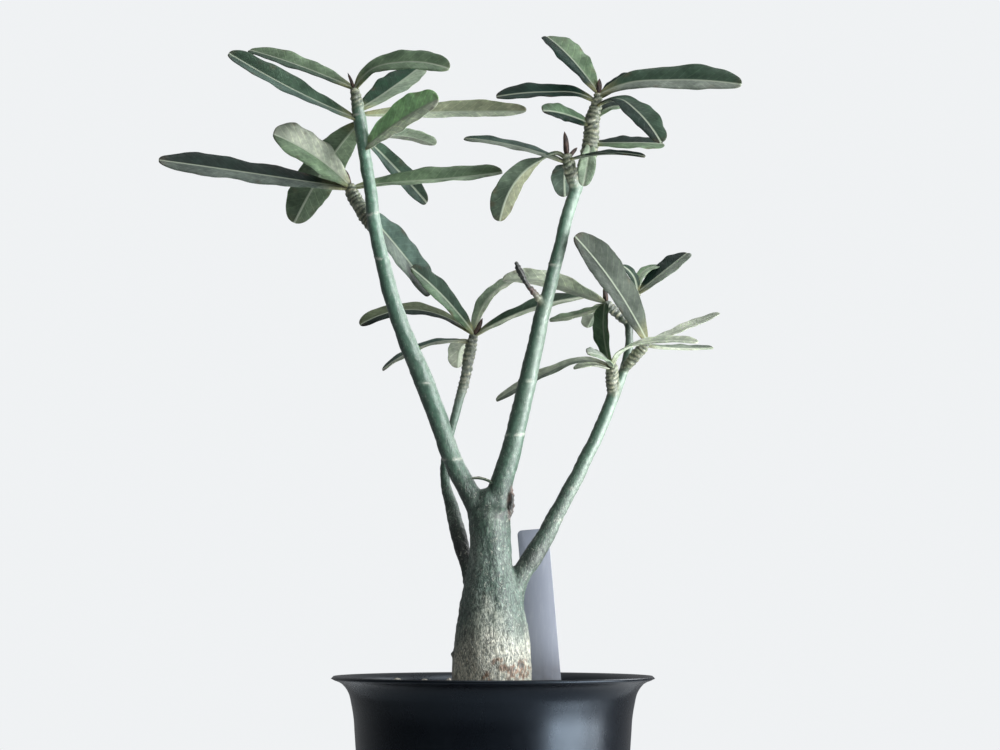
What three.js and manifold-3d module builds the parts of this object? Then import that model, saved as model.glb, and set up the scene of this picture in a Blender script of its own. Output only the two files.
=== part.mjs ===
// A desert rose (adenium) in a flared nursery pot: swollen trunk, smooth forking branches that end in
// small rosettes of spoon-shaped leaves, potting mix, a bare plant label and the pot itself.
// Millimetres, +Z up, the pot stands on z = 0 and its axis is the Z axis. -Y faces the viewer.
import * as THREE from 'three';
import Module from 'manifold-3d';

const wasm = await Module();
wasm.setup();

// Driving dimensions
const potHeight = 130;
const rimRadius = 75;
const footRadius = 56.8;
const wallThickness = 1.6;
const floorTop = 4.2;
const potSides = 48;
const mixLevel = 125;
const mixGap = 0.3;
const drainHoles = 8;
const drainRadius = 4.5;
const labelWidth = 14.6;
const labelThickness = 0.8;
const labelTop = 198;
const labelEnd = 76;
const labelDepth = 26;
const leafThickness = 0.85;
const petioleHalf = 1.1;
const leafStations = [0, 0.08, 0.19, 0.32, 0.46, 0.6, 0.73, 0.85, 0.94, 1];
const cutGap = 0.35;

// The trunk: centre and radius, from the blunt taproot up to the fork
const trunkLine = [
  [0, 0, 89, 4],
  [0, 0, 93, 9.5],
  [0, 0, 101, 14],
  [-0.7, 0, 113, 17.6],
  [-0.7, 0, 129, 18.4],
  [-0.7, 0, 142, 17.7],
  [-0.6, 0, 151, 16.7],
  [-0.6, 0, 160.5, 15],
  [-0.9, 0, 169.5, 13.1],
  [-1.2, 0, 180, 10.5],
  [-1, 0, 190.5, 9.6],
  [-1.5, 0, 200, 9.6],
  [-2.2, -0.5, 208, 8.6],
  [-2.5, -1, 210.5, 6.5],
];

// Branches: a line of centre points with radii, and how far below its end the leafy shoot begins
const limbs = {
  left: {
    cut: 33,
    line: [
      [-5.5, 0, 206, 6], [-11.8, -1, 216.5, 4.9], [-18.8, -2, 230, 4.5], [-25.3, -4, 248.5, 4.5],
      [-32, -6, 266.5, 4.5], [-39.9, -8, 285, 4.1], [-46.5, -10, 303.5, 3.7], [-51.2, -11, 322, 3.4],
      [-55, -12.5, 340.5, 3.2], [-56.5, -13.5, 354, 3], [-59.5, -15, 372.5, 2.9],
      [-61.5, -16, 386.5, 3.1], [-64, -17, 401.5, 2],
    ],
  },
  leftSide: {
    cut: 19,
    line: [
      [-54, -11, 335, 2.5], [-58, -6, 341, 3.2], [-62.5, -2, 348.5, 3.2], [-65.5, 0, 354, 2.9],
      [-67, 1, 358.5, 2],
    ],
  },
  right: {
    cut: 31,
    line: [
      [1, 0, 206.5, 7], [3, -1, 216, 5.6], [7.3, -2, 230, 4.9], [11.8, -3, 248.5, 4.4],
      [18.3, -5, 276, 4], [22.4, -6, 295.5, 3.5], [25.4, -7, 306.5, 3.2], [29.8, -8, 323.5, 3],
      [35.3, -9, 345.5, 2.9], [39, -9, 357, 3], [43.3, -8, 367.5, 3.7], [45.5, -7, 379, 3.6],
      [46, -6, 386.5, 3.5], [48, -5, 395, 2.7], [49, -5, 400.5, 1.8],
    ],
  },
  rightSide: {
    cut: 9,
    line: [[38.5, -9, 355.5, 2.6], [36.5, -12, 361, 3], [35, -14, 366, 2.8], [34, -15, 371, 1.8]],
  },
  rear: {
    cut: 8,
    line: [
      [-10.8, 2.5, 174, 3.4], [-12.1, 4.5, 180, 2.8], [-13.4, 7, 185, 3.1], [-14.6, 9, 189, 3.5],
      [-16.4, 12, 196.5, 3.6], [-19.2, 18, 208, 3.2],
      [-22.2, 22, 219, 2.4], [-22.5, 26, 230.5, 2], [-20, 29, 243, 1.9], [-17, 31, 255.5, 1.9],
      [-14, 33, 266.5, 2.3], [-12, 34, 277, 2.6], [-10, 35, 286.5, 2.5], [-9, 35, 290.5, 1.8],
    ],
  },
  low: {
    cut: 7,
    line: [
      [7.5, 1.5, 163, 6.8], [9.4, 2, 170, 5.7], [13, 3, 177, 4.6], [18, 4, 184.5, 4.8],
      [25, 6, 196, 4.2], [31.3, 8, 208, 3.8], [37, 9.5, 218.5, 3.5], [43.6, 11, 231.5, 3.2],
      [50.4, 12, 246, 3], [56, 13, 259.5, 3], [60.5, 15, 270.5, 2.3], [63.5, 18, 282, 2],
      [64, 21, 294, 2], [66.5, 24, 304.5, 1.9], [68, 25, 310.5, 1.4],
    ],
  },
  lowLeft: {
    cut: 8,
    line: [[56.5, 13, 261, 2.6], [55.5, 10, 267.5, 3], [55.5, 8, 273, 2.6], [55, 7, 276, 1.8]],
  },
  lowRight: {
    cut: 6,
    line: [[61.5, 15, 272.5, 1.8], [65.5, 9, 278, 2.6], [69.5, 5, 282, 2.4], [72, 2, 285, 1.6]],
  },
  lowTwig: {
    cut: 5.5,
    line: [[64, 21, 294.5, 1.6], [58.5, 20, 299, 2.2], [54.5, 18, 302.5, 2], [52.5, 17, 305, 1.4]],
  },
};

// Leaves: [distance of the base below the shoot's end, width, way the upper face looks, fold in
// degrees, then the midrib's middle points and its tip]. The base lies on the shoot's centre line.
const leaves = {
  left: [
    [16, 17, [0, -6, 8], 16, [-93.5, -24, 400], [-121.5, -28, 415.5]],
    [1.2, 15, [0, -5, 9], 14, [-88.5, -6, 412], [-114, 6, 421.5]],
    [1.5, 14.5, [0, -7.5, 6.5], 14, [-56.5, -21, 408.5], [-41.5, -27, 411.5], [-20, -34, 407.5]],
    [11.3, 17, [-2, -8, 6], 12, [-48.5, 1, 402], [-34, 20, 415.5]],
    [29.4, 19.5, [-5, -8, 5], 17, [-44, -28, 383.5], [-24.5, -40, 393]],
    [12.9, 14, [0, 5, 9], 8, [-24.5, -4, 392], [15.5, 8, 393.5]],
    [26.2, 11, [0, 5, 9], 8, [-42.5, 12, 382.5], [-27.5, 30, 380]],
    [23.2, 11.5, [3, -9, 3], 14, [-46, 12, 367], [-31.5, 28, 352]],
    [16, 20, [-2, 8, 4], 8, [-77.5, 10, 369.5], [-94, 26, 342.5]],
  ],
  leftSide: [
    [2.7, 21, [0, -6, 8], 7, [-111, -14, 361.5], [-153.5, -25, 366.5]],
    [1.9, 24, [4, -7, 6], 11, [-83, -8, 370.5], [-101.5, -16, 379.5]],
    [2.4, 18, [0, -5, 8.5], 17, [-45.5, 1.5, 359], [-20, 3.3, 361], [4.5, 4, 364]],
    [10.9, 20, [5, -8, 5], 10, [-43.5, 16, 328], [-29.5, 32, 310]],
  ],
  right: [
    [0.8, 18.5, [5.3, -7, 4.3], 13, [38.5, -3, 414], [25, 7, 428]],
    [5, 13.5, [0, -6, 8], 13, [39.5, -6, 399.5], [25.5, -8, 400], [1.5, -10, 397.5]],
    [16.1, 11, [1, -8, 5], 9, [35, -14, 388.5], [23, -27, 389]],
    [2.2, 19, [0, -7, 7], 13, [60, -8, 403.5], [82.5, -13, 405], [114.5, -20, 402]],
    [3.5, 9, [0, -6, 7], 10, [56.5, -3, 403.5], [67.5, 2, 409.5]],
    [7, 17, [3, -6, 7], 8, [57.5, -15, 396], [66, -26, 389], [76.5, -36, 373.5]],
    [14.1, 9, [0, -5, 9], 10, [54, -2, 393.5], [65, 4, 393.5]],
    [25, 15.5, [0, -5, 9], 4, [63.5, -3, 377], [79.5, 2, 377]],
    [23.5, 8, [2, -8, 5], 10, [43.5, -16, 365.5], [41.5, -18, 355.5]],
  ],
  rightSide: [
    [5.1, 12, [0, -4, 9], 7, [10.5, -12, 374.5], [-13.5, -8, 378.5]],
    [4.2, 14, [-3, 7, 5], 16, [30.5, -13.5, 371], [20.5, -12.5, 367.5], [3, -4, 340.5]],
    [6.1, 12, [-3, 8, 5], 12, [33.5, -2, 366], [33.5, 12, 353.5]],
    [3.4, 9, [0, -3, 9], 10, [52, -28.5, 369.5], [69.5, -36, 367]],
  ],
  rear: [
    [0.6, 14, [5, -7, 5], 12, [-24.2, 24, 307.9], [-38.5, 14, 320]],
    [0.6, 16.5, [0, -4, 9], 8, [-37, 32, 301.5], [-62.5, 26, 294]],
    [4.6, 12.5, [0, -3, 9], 5, [-24, 36, 287], [-39.5, 38, 282], [-52.5, 40, 273.5]],
    [4, 11, [-3, 7, 6], 12, [-14.5, 44, 286.5], [-17, 54, 275.5]],
    [0.6, 10.5, [-3, -5, 8], 14, [-2, 38, 308], [11.5, 40, 317]],
    [1.5, 14, [0, -5, 9], 12, [16, 31, 301.5], [43.5, 28, 307.5]],
  ],
  low: [
    [2.3, 13.5, [-4, -6, 5.5], 12, [82, 30, 320.5], [92.5, 38, 329]],
    [0.5, 6, [0, -4, 9], 10, [70, 28, 318], [79.5, 34, 322.5]],
    [0.5, 6, [0, -7, 7], 10, [66, 23, 316.5], [60.5, 20, 321.5]],
  ],
  lowLeft: [
    [3, 9.5, [0, -8, 5], 10, [51, -6, 277], [43.5, -20, 278]],
    [3, 12.5, [0, -4, 9], 7, [42, 10, 276.5], [24.5, 14, 270.5], [1.5, 18, 258]],
    [4.5, 6, [0, -4, 9], 10, [46, 2, 274], [37.5, -2, 272]],
    [2, 13.5, [-8, -5, 3], 18, [52, 6, 288.5], [52.5, 8, 303]],
    [3, 9, [0, -5, 9], 10, [60, -3, 280.5], [74.5, -15, 284], [94, -24, 283]],
  ],
  lowRight: [
    [1.2, 23, [5, -7, 5], 14, [56, -6, 310.5], [37.5, -14, 332.5]],
    [0.9, 8.5, [0, -3, 9], 10, [88.5, 14, 291.5], [106.5, 22, 299.5]],
    [3, 9.5, [0, -3, 9], 10, [86, 8, 282], [103, 12, 282.5]],
  ],
  lowTwig: [
    [1.5, 14, [0, 5, 9], 10, [40.5, 15, 309], [25.5, 12, 314], [4.5, 6, 314.5]],
    [2.4, 9, [0, -4, 9], 10, [39.5, 14, 298], [26.5, 10, 295]],
    [2.3, 10, [-3, 6, 6], 12, [49, 26, 301], [44.5, 34, 293.5]],
  ],
};

// Bare stalks as a share of the leaf's length, by shoot and the leaf's place in its list
const bareStalks = { rightSide: { 1: 0.28 } };

// Dry buds at the shoot ends: [distance below the end, widest radius, tip point]
const buds = {
  left: [[2, 0.9, [-67, -18, 408]]],
  leftSide: [[1.5, 1.3, [-69, 3, 365.5]]],
  right: [[1.5, 1.5, [49.5, -5, 407]]],
  rightSide: [[1, 1.5, [33, -16, 381]], [2, 1.1, [39, -12, 374]]],
  rear: [[2, 1.4, [-5, 34, 298]], [2, 1.1, [-12, 35, 296]]],
  lowTwig: [[1, 1.4, [52, 17, 311.5]]],
};

// Twig, tiny leaf and dry scar that stay with the trunk
const sideTwig = [
  [24.5, -7, 300, 1.6], [20.5, -9, 305, 1.5], [15.5, -11, 311, 1.1], [12.5, -12, 316.5, 1.5],
  [10.5, -13, 321, 0.6],
];
const forkScar = [
  [7.2, -3.5, 203, 0.7], [8.2, -4, 208, 1.5], [8.4, -4, 213, 1.4], [7.8, -3.5, 218, 0.6],
];
const tinyLeaf = [[2, -4, 217.5], [-5, -5.5, 221], [-10, -7, 221]];

// Colours
const leafColour = 0x4f6256;
const barkColour = 0x7d9486;
const potColour = 0x14171b;
const mixColour = 0x5d5145;
const labelColour = 0x969aaa;

function subtract(a, b) {
  return [a[0] - b[0], a[1] - b[1], a[2] - b[2]];
}

function along(a, d, k) {
  return [a[0] + d[0] * k, a[1] + d[1] * k, a[2] + d[2] * k];
}

function dot(a, b) {
  return a[0] * b[0] + a[1] * b[1] + a[2] * b[2];
}

function cross(a, b) {
  return [a[1] * b[2] - a[2] * b[1], a[2] * b[0] - a[0] * b[2], a[0] * b[1] - a[1] * b[0]];
}

function unit(a) {
  const size = Math.hypot(a[0], a[1], a[2]);
  return [a[0] / size, a[1] / size, a[2] / size];
}

// Slope at x of the parabola through three points
function parabolaSlope(x, xs, fs) {
  const [a, b, c] = xs;
  return fs[0] * (2 * x - b - c) / ((a - b) * (a - c))
    + fs[1] * (2 * x - a - c) / ((b - a) * (b - c))
    + fs[2] * (2 * x - a - b) / ((c - a) * (c - b));
}

// Smooth line through set points: cubic pieces over the distance run, slopes from parabolas
function softLine(points) {
  const reach = [0];
  for (let i = 1; i < points.length; i += 1) {
    const step = subtract(points[i], points[i - 1]);
    reach.push(reach[i - 1] + Math.hypot(step[0], step[1], step[2]));
  }
  const last = points.length - 1;
  const slopes = points.map((point, i) => {
    const m = Math.min(Math.max(i, 1), last - 1);
    const xs = [reach[m - 1], reach[m], reach[m + 1]];
    return point.map((value, c) => parabolaSlope(
      reach[i], xs, [points[m - 1][c], points[m][c], points[m + 1][c]],
    ));
  });
  const at = (run) => {
    let i = 0;
    while (i < last - 1 && run > reach[i + 1]) i += 1;
    const h = reach[i + 1] - reach[i];
    const u = Math.min(Math.max((run - reach[i]) / h, 0), 1);
    const u2 = u * u;
    const u3 = u2 * u;
    return points[i].map((value, c) => (2 * u3 - 3 * u2 + 1) * value
      + (u3 - 2 * u2 + u) * h * slopes[i][c]
      + (3 * u2 - 2 * u3) * points[i + 1][c]
      + (u3 - u2) * h * slopes[i + 1][c]);
  };
  return { length: reach[last], at };
}

function tangentAt(line, run) {
  const a = line.at(Math.max(run - 0.5, 0));
  const b = line.at(Math.min(run + 0.5, line.length));
  return unit(subtract(b, a));
}

// A closed body from a list of vertices and triangles
function body(vertices, triangles) {
  const mesh = new wasm.Mesh({
    numProp: 3,
    vertProperties: Float32Array.from(vertices.flat()),
    triVerts: Uint32Array.from(triangles.flat()),
  });
  return new wasm.Manifold(mesh);
}

// Round tube with flat ends along a smooth line whose fourth number is the radius
function tube(line, from, to, rings, sides, extra = 0) {
  const vertices = [];
  const triangles = [];
  let side = null;
  for (let i = 0; i <= rings; i += 1) {
    const run = from + (to - from) * i / rings;
    const centre = line.at(run);
    const way = tangentAt(line, run);
    const guide = side ?? (Math.abs(way[0]) < 0.9 ? [1, 0, 0] : [0, 1, 0]);
    side = unit(along(guide, way, -dot(guide, way)));
    const across = cross(way, side);
    const radius = centre[3] + extra;
    for (let j = 0; j < sides; j += 1) {
      const turn = 2 * Math.PI * j / sides;
      const out = along(along([0, 0, 0], side, Math.cos(turn)), across, Math.sin(turn));
      vertices.push(along(centre, out, radius));
    }
  }
  const start = vertices.length;
  vertices.push(line.at(from).slice(0, 3), line.at(to).slice(0, 3));
  for (let j = 0; j < sides; j += 1) {
    const next = (j + 1) % sides;
    for (let i = 0; i < rings; i += 1) {
      const a = i * sides + j;
      const b = i * sides + next;
      triangles.push([a, b, b + sides], [a, b + sides, a + sides]);
    }
    triangles.push([start, next, j]);
    triangles.push([start + 1, rings * sides + j, rings * sides + next]);
  }
  return body(vertices, triangles);
}

// Half width of a leaf at t along its midrib: u^0.75 (1 - u)^0.42 beyond its bare stalk, where u
// runs from 0 at the stalk's end to 1 at the tip; widest near two thirds
function halfWidth(t, width, stalk) {
  const peak = (0.75 / 1.17) ** 0.75 * (0.42 / 1.17) ** 0.42;
  const u = Math.max(t - stalk, 0) / (1 - stalk);
  const blade = 0.5 * width * u ** 0.75 * (1 - u) ** 0.42 / peak;
  return Math.max(blade, t < 0.5 ? Math.min(petioleHalf, width / 4) : 0.45);
}

// Leaf blade: slab folded up along its midrib, split into triangles alike on both faces
function blade(points, width, face, fold, stalk = 0) {
  const line = softLine(points);
  const lift = Math.sin(fold * Math.PI / 180);
  const spread = Math.cos(fold * Math.PI / 180);
  const vertices = [];
  const triangles = [];
  const rows = leafStations.length;
  for (const t of leafStations) {
    const centre = line.at(t * line.length);
    const way = tangentAt(line, t * line.length);
    const normal = unit(along(face, way, -dot(face, way)));
    const side = cross(way, normal);
    const half = halfWidth(t, width, stalk);
    const thick = leafThickness + 0.7 * (1 - t) ** 8;
    for (const level of [0.5, -0.5]) {
      for (const v of [-1, 0, 1]) {
        const edge = along(along(centre, side, v * half * spread), normal, Math.abs(v) * half * lift);
        vertices.push(along(edge, normal, level * thick));
      }
    }
  }
  for (let i = 0; i < rows; i += 1) {
    const k = i * 6;
    if (i + 1 < rows) {
      for (const j of [0, 1]) {
        const a = k + j;
        triangles.push([a, a + 1, a + 7], [a, a + 7, a + 6]);
        triangles.push([a + 3, a + 10, a + 4], [a + 3, a + 9, a + 10]);
      }
      triangles.push([k, k + 6, k + 9], [k, k + 9, k + 3]);
      triangles.push([k + 2, k + 11, k + 8], [k + 2, k + 5, k + 11]);
    }
  }
  const e = (rows - 1) * 6;
  for (const j of [0, 1]) {
    triangles.push([j, j + 3, j + 4], [j, j + 4, j + 1]);
    triangles.push([e + j, e + j + 4, e + j + 3], [e + j, e + j + 1, e + j + 4]);
  }
  return body(vertices, triangles);
}

// Spindle-shaped dry bud from a point on the shoot to its tip
function bud(base, tip, radius) {
  const middle = along(base, subtract(tip, base), 0.6);
  const line = softLine([[...base, 0.6 * radius], [...middle, radius], [...tip, 0.3]]);
  return tube(line, 0, line.length, 4, 6);
}

// Ring body turned about the pot's axis from a closed list of [radius, height] points
function turned(profile) {
  const vertices = [];
  const triangles = [];
  const last = profile.length - 1;
  const ring = (i) => 1 + (i - 1) * potSides;
  vertices.push([0, 0, profile[0][1]]);
  for (let i = 1; i < last; i += 1) {
    for (let j = 0; j < potSides; j += 1) {
      const turn = 2 * Math.PI * j / potSides;
      const [radius, height] = profile[i];
      vertices.push([radius * Math.cos(turn), radius * Math.sin(turn), height]);
    }
  }
  vertices.push([0, 0, profile[last][1]]);
  const end = vertices.length - 1;
  for (let j = 0; j < potSides; j += 1) {
    const next = (j + 1) % potSides;
    triangles.push([0, ring(1) + next, ring(1) + j]);
    for (let i = 1; i < last - 1; i += 1) {
      const a = ring(i) + j;
      const b = ring(i) + next;
      triangles.push([a, b, b + potSides], [a, b + potSides, a + potSides]);
    }
    triangles.push([ring(last - 1) + j, ring(last - 1) + next, end]);
  }
  return { vertices, triangles };
}

// Prism of a convex outline given in its own plane: origin, two directions and a thickness
function prism(outline, origin, across, up, thickness) {
  const normal = cross(across, up);
  const count = outline.length;
  const vertices = [0.5, -0.5].flatMap((level) => outline.map(([u, v]) => (
    along(along(along(origin, across, u), up, v), normal, level * thickness)
  )));
  const triangles = [];
  for (let i = 0; i < count; i += 1) {
    const next = (i + 1) % count;
    triangles.push([i, i + count, next + count], [i, next + count, next]);
    if (i > 0 && i < count - 1) {
      triangles.push([0, i, i + 1], [count, count + i + 1, count + i]);
    }
  }
  return body(vertices, triangles);
}

// Pot: flared rim, tapered wall, drained floor on a notched foot ring and a centre boss
function makePot() {
  const wallOuter = [
    [footRadius, 0], [63.4, 96.1], [63.9, 103.4], [64.4, 110.7], [65.4, 116.8], [66.9, 122.6],
    [70.4, 126.9], [74.6, 128.3], [rimRadius, 129.2], [74.6, potHeight], [73, potHeight],
  ];
  const wallInner = [
    [69.4, 128.5], [65.6, 124], [63.9, 117.2], [62.8, 110.8], [62.3, 103.4],
    [63.4 - wallThickness, 96.1], [55.6, floorTop + 0.9], [54.4, floorTop], [0, floorTop],
  ];
  const underside = [[0, 0], [18, 0], [18.8, 2.4], [51, 2.4], [52.6, 0]];
  const shell = turned([...underside, ...wallOuter, ...wallInner]);
  let pot = body(shell.vertices, shell.triangles);
  for (let k = 0; k < drainHoles; k += 1) {
    const turn = 2 * Math.PI * (k + 0.5) / drainHoles;
    const out = [Math.cos(turn), Math.sin(turn), 0];
    const centre = along([0, 0, -2], out, 36);
    const hole = softLine([[...centre, drainRadius], [centre[0], centre[1], 3, drainRadius],
      [centre[0], centre[1], 9, drainRadius]]);
    pot = pot.subtract(tube(hole, 0, hole.length, 1, 10));
    const notch = [[-4, -1], [4, -1], [3, 1.5], [-3, 1.5]];
    const tangent = [-out[1], out[0], 0];
    pot = pot.subtract(prism(notch, along([0, 0, 0], out, 55), tangent, [0, 0, 1], 12));
  }
  return pot;
}

// Grain relief of the potting mix: three crossing waves, calm near the wall
function grainRelief(x, y) {
  const edge = Math.min(1, Math.max(0, (62 - Math.hypot(x, y)) / 10));
  return edge * (0.5 * Math.sin(0.61 * x + 0.23 * y) + 0.4 * Math.sin(0.57 * y - 0.31 * x + 1.3)
    + 0.3 * Math.sin(0.93 * x - 0.72 * y + 0.6));
}

// Potting mix: fills the pot up to a little below the rim, with plain holes for trunk and label
function makeMix(trunk, slot) {
  const wall = [[55.3, floorTop + 1.1], [61.5, 96.1], [62, 103.4], [62.5, 110.8], [63.6, 117.2]];
  const rings = [65, 56, 46, 36, 26, 12];
  const profile = [
    [0, floorTop + mixGap], [54.1, floorTop + mixGap], ...wall, [65 + 0.15, mixLevel - 1.4],
    ...rings.slice(1).map((radius) => [radius, mixLevel]), [0, mixLevel],
  ];
  const fill = turned(profile);
  for (const vertex of fill.vertices) {
    if (vertex[2] > mixLevel - 0.5) vertex[2] += grainRelief(vertex[0], vertex[1]);
  }
  return body(fill.vertices, fill.triangles).subtract(trunk).subtract(slot);
}

// Plant label: thin strip with rounded top corners and a pointed end, leaning a little
function makeLabel(grow) {
  const lean = 4.9 * Math.PI / 180;
  const up = [-Math.sin(lean), 0, Math.cos(lean)];
  const across = [Math.cos(lean), 0, Math.sin(lean)];
  const high = (labelTop - labelEnd) / Math.cos(lean);
  const half = labelWidth / 2;
  const round = 2.2;
  const outline = [
    [-half, high - round], [-half, 14], [-2, 0], [2, 0], [half, 14], [half, high - round],
    [half - 0.3 * round, high - 0.3 * round], [half - round, high],
    [round - half, high], [0.3 * round - half, high - 0.3 * round],
  ];
  const slotOutline = [
    [-half - grow, high + 20], [-half - grow, 14 - grow], [-2 - grow, -grow],
    [2 + grow, -grow], [half + grow, 14 - grow], [half + grow, high + 20],
  ];
  const foot = [29, labelDepth, labelEnd];
  const shape = grow > 0 ? slotOutline : outline;
  return prism(shape, foot, across, up, labelThickness + 2 * grow);
}

function limbLine(name) {
  return softLine(limbs[name].line);
}

// Trunk with its branches up to where each leafy shoot begins
function makeTrunk() {
  const trunkAxis = softLine(trunkLine);
  let trunk = tube(trunkAxis, 0, trunkAxis.length, 22, 24);
  for (const [name, limb] of Object.entries(limbs)) {
    const line = limbLine(name);
    const end = line.length - limb.cut - cutGap;
    const slim = limb.line[0][3] < 3;
    trunk = trunk.add(tube(line, 0, end, Math.max(3, Math.round(end / 9)), slim ? 9 : 12));
  }
  const twig = softLine(sideTwig);
  trunk = trunk.add(tube(twig, 0, twig.length, 8, 7));
  const scar = softLine(forkScar);
  trunk = trunk.add(tube(scar, 0, scar.length, 5, 6));
  return trunk.add(blade(tinyLeaf, 3.4, [0, -3, 9], 8));
}

// Leafy shoot: the end of a branch with its buds and its rosette of leaves
function makeShoot(name) {
  const line = limbLine(name);
  const start = line.length - limbs[name].cut;
  let shoot = tube(line, start, line.length, Math.max(3, Math.round(limbs[name].cut / 5)), 10);
  for (const [i, [drop, width, face, fold, ...midrib]] of leaves[name].entries()) {
    const base = line.at(line.length - drop).slice(0, 3);
    const stalk = bareStalks[name]?.[i] ?? 0;
    shoot = shoot.add(blade([base, ...midrib], width, face, fold, stalk));
  }
  for (const [drop, radius, tip] of buds[name] ?? []) {
    shoot = shoot.add(bud(line.at(line.length - drop).slice(0, 3), tip, radius));
  }
  return shoot;
}

const group = new THREE.Group();
group.name = 'potted_desert_rose';

function place(name, solid, colour, roughness) {
  const mesh = solid.getMesh();
  const geometry = new THREE.BufferGeometry();
  geometry.setAttribute('position', new THREE.BufferAttribute(new Float32Array(mesh.vertProperties), 3));
  geometry.setIndex(new THREE.BufferAttribute(new Uint32Array(mesh.triVerts), 1));
  geometry.computeVertexNormals();
  const material = new THREE.MeshStandardMaterial({ color: colour, roughness, metalness: 0 });
  const item = new THREE.Mesh(geometry, material);
  item.name = name;
  group.add(item);
}

const trunkAxis = softLine(trunkLine);
const trunkHole = tube(trunkAxis, 0, trunkAxis.length, 22, 24, 0.4)
  .translate([0, 0, -0.3]);

place('pot', makePot(), potColour, 0.35);
place('potting_mix', makeMix(trunkHole, makeLabel(0.3)), mixColour, 0.95);
place('plant_label', makeLabel(0), labelColour, 0.5);
place('trunk_and_branches', makeTrunk(), barkColour, 0.6);

const shootNames = {
  left: 'left_top_shoot',
  leftSide: 'left_side_shoot',
  right: 'right_top_shoot',
  rightSide: 'right_side_shoot',
  rear: 'rear_shoot',
  low: 'low_top_shoot',
  lowLeft: 'low_left_shoot',
  lowRight: 'low_right_shoot',
  lowTwig: 'low_twig_shoot',
};
for (const [name, title] of Object.entries(shootNames)) {
  place(title, makeShoot(name), leafColour, 0.5);
}

export default group;
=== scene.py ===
import math
import bpy
import numpy as np
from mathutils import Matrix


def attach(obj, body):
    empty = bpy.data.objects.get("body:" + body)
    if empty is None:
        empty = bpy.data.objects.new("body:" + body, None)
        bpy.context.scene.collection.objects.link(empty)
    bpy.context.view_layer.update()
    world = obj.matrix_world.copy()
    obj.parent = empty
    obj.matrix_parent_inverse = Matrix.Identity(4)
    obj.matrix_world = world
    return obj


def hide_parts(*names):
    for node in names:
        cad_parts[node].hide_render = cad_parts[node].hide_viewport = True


# A desert rose in a flared nursery pot. Tables are in millimetres, in the frame's own axes:
# +Z up, the pot stands on z = 0, and -Y is the side that faces the viewer.
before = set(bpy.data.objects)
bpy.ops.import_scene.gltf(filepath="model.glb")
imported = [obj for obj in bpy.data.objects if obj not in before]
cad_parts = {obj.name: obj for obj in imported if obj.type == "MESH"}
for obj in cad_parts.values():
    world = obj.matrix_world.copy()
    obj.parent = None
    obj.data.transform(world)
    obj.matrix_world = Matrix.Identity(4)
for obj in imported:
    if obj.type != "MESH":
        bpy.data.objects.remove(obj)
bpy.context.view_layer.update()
metre = 0.001
print("frame loaded:", len(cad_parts), "nodes")

cameraView = {"place": (3.24, -1800, 177.5), "upwardTilt": 2.92, "lens": 139.8}


def makeCamera():
    data = bpy.data.cameras.new("photoCamera")
    data.lens = cameraView["lens"]
    data.clip_start, data.clip_end = 0.05, 60
    camera = bpy.data.objects.new("photoCamera", data)
    camera.location = [value * metre for value in cameraView["place"]]
    camera.rotation_euler = (math.radians(90 + cameraView["upwardTilt"]), 0, 0)
    bpy.context.scene.collection.objects.link(camera)
    bpy.context.scene.camera = camera


makeCamera()


# Colour as seen on a display, 0 to 255, to linear light
def shade(red, green, blue):
    c = np.array([red, green, blue], float) / 255
    return np.where(c <= 0.04045, c / 12.92, ((c + 0.055) / 1.055) ** 2.4)


def smooth(low, high, x):
    u = np.clip((x - low) / (high - low), 0, 1)
    return u * u * (3 - 2 * u)


def unit(v):
    return v / np.linalg.norm(v, axis=-1, keepdims=True)


# A bell: exp(-(x / width)^2), which is 1 at 0
def bell(x, width):
    return np.exp(-((x / width) ** 2))


# Angles of points spaced evenly round a circle
def roundTurn(count):
    return np.arange(count) * 2 * math.pi / count


# Two directions square to a line's own: one that leans to +Y, and one square to both
def crosswise(way):
    side = unit(np.array([0, 1, 0]) - way * way[:, 1:2])
    return side, np.cross(way, side)


# Directions round a line at each row and angle: cos(turn) side + sin(turn) across
def aroundLine(turn, side, across):
    return np.cos(turn)[None, :, None] * side[:, None] + np.sin(turn)[None, :, None] * across[:, None]


# Each row's colour, moved its share of the way to another colour
def toward(tone, goal, share):
    return tone + (goal - tone) * share[..., None]


# Soft noise of about unit size: sum of sines along random directions, wavelength about span
def waves(points, span, seed, count=14):
    draw = np.random.default_rng(seed)
    ways = unit(draw.normal(size=(count, 3))) * draw.uniform(0.6, 1.6, (count, 1)) * 2 * math.pi / span
    return np.sin(points @ ways.T + draw.uniform(0, 2 * math.pi, count)).sum(-1) / math.sqrt(count)


# Rows at given shares of a line's length: cubic pieces over the distance run, each point's slope
# that of the parabola through it and its neighbours
def alongLine(points, shares):
    points = np.asarray(points, float)
    run = np.r_[0, np.cumsum(np.linalg.norm(np.diff(points[:, :3], axis=0), axis=1))]
    slopes = np.gradient(points, run, axis=0, edge_order=2)
    want = np.clip(shares, 0, 1) * run[-1]
    piece = np.clip(np.searchsorted(run, want, side="right") - 1, 0, len(points) - 2)
    step = (run[piece + 1] - run[piece])[:, None]
    u = (want - run[piece])[:, None] / step
    return ((2 * u**3 - 3 * u**2 + 1) * points[piece] + (u**3 - 2 * u**2 + u) * step * slopes[piece]
            + (3 * u**2 - 2 * u**3) * points[piece + 1] + (u**3 - u**2) * step * slopes[piece + 1])


def lineLength(points):
    points = np.asarray(points, float)[:, :3]
    return np.linalg.norm(np.diff(points, axis=0), axis=1).sum()


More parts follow.
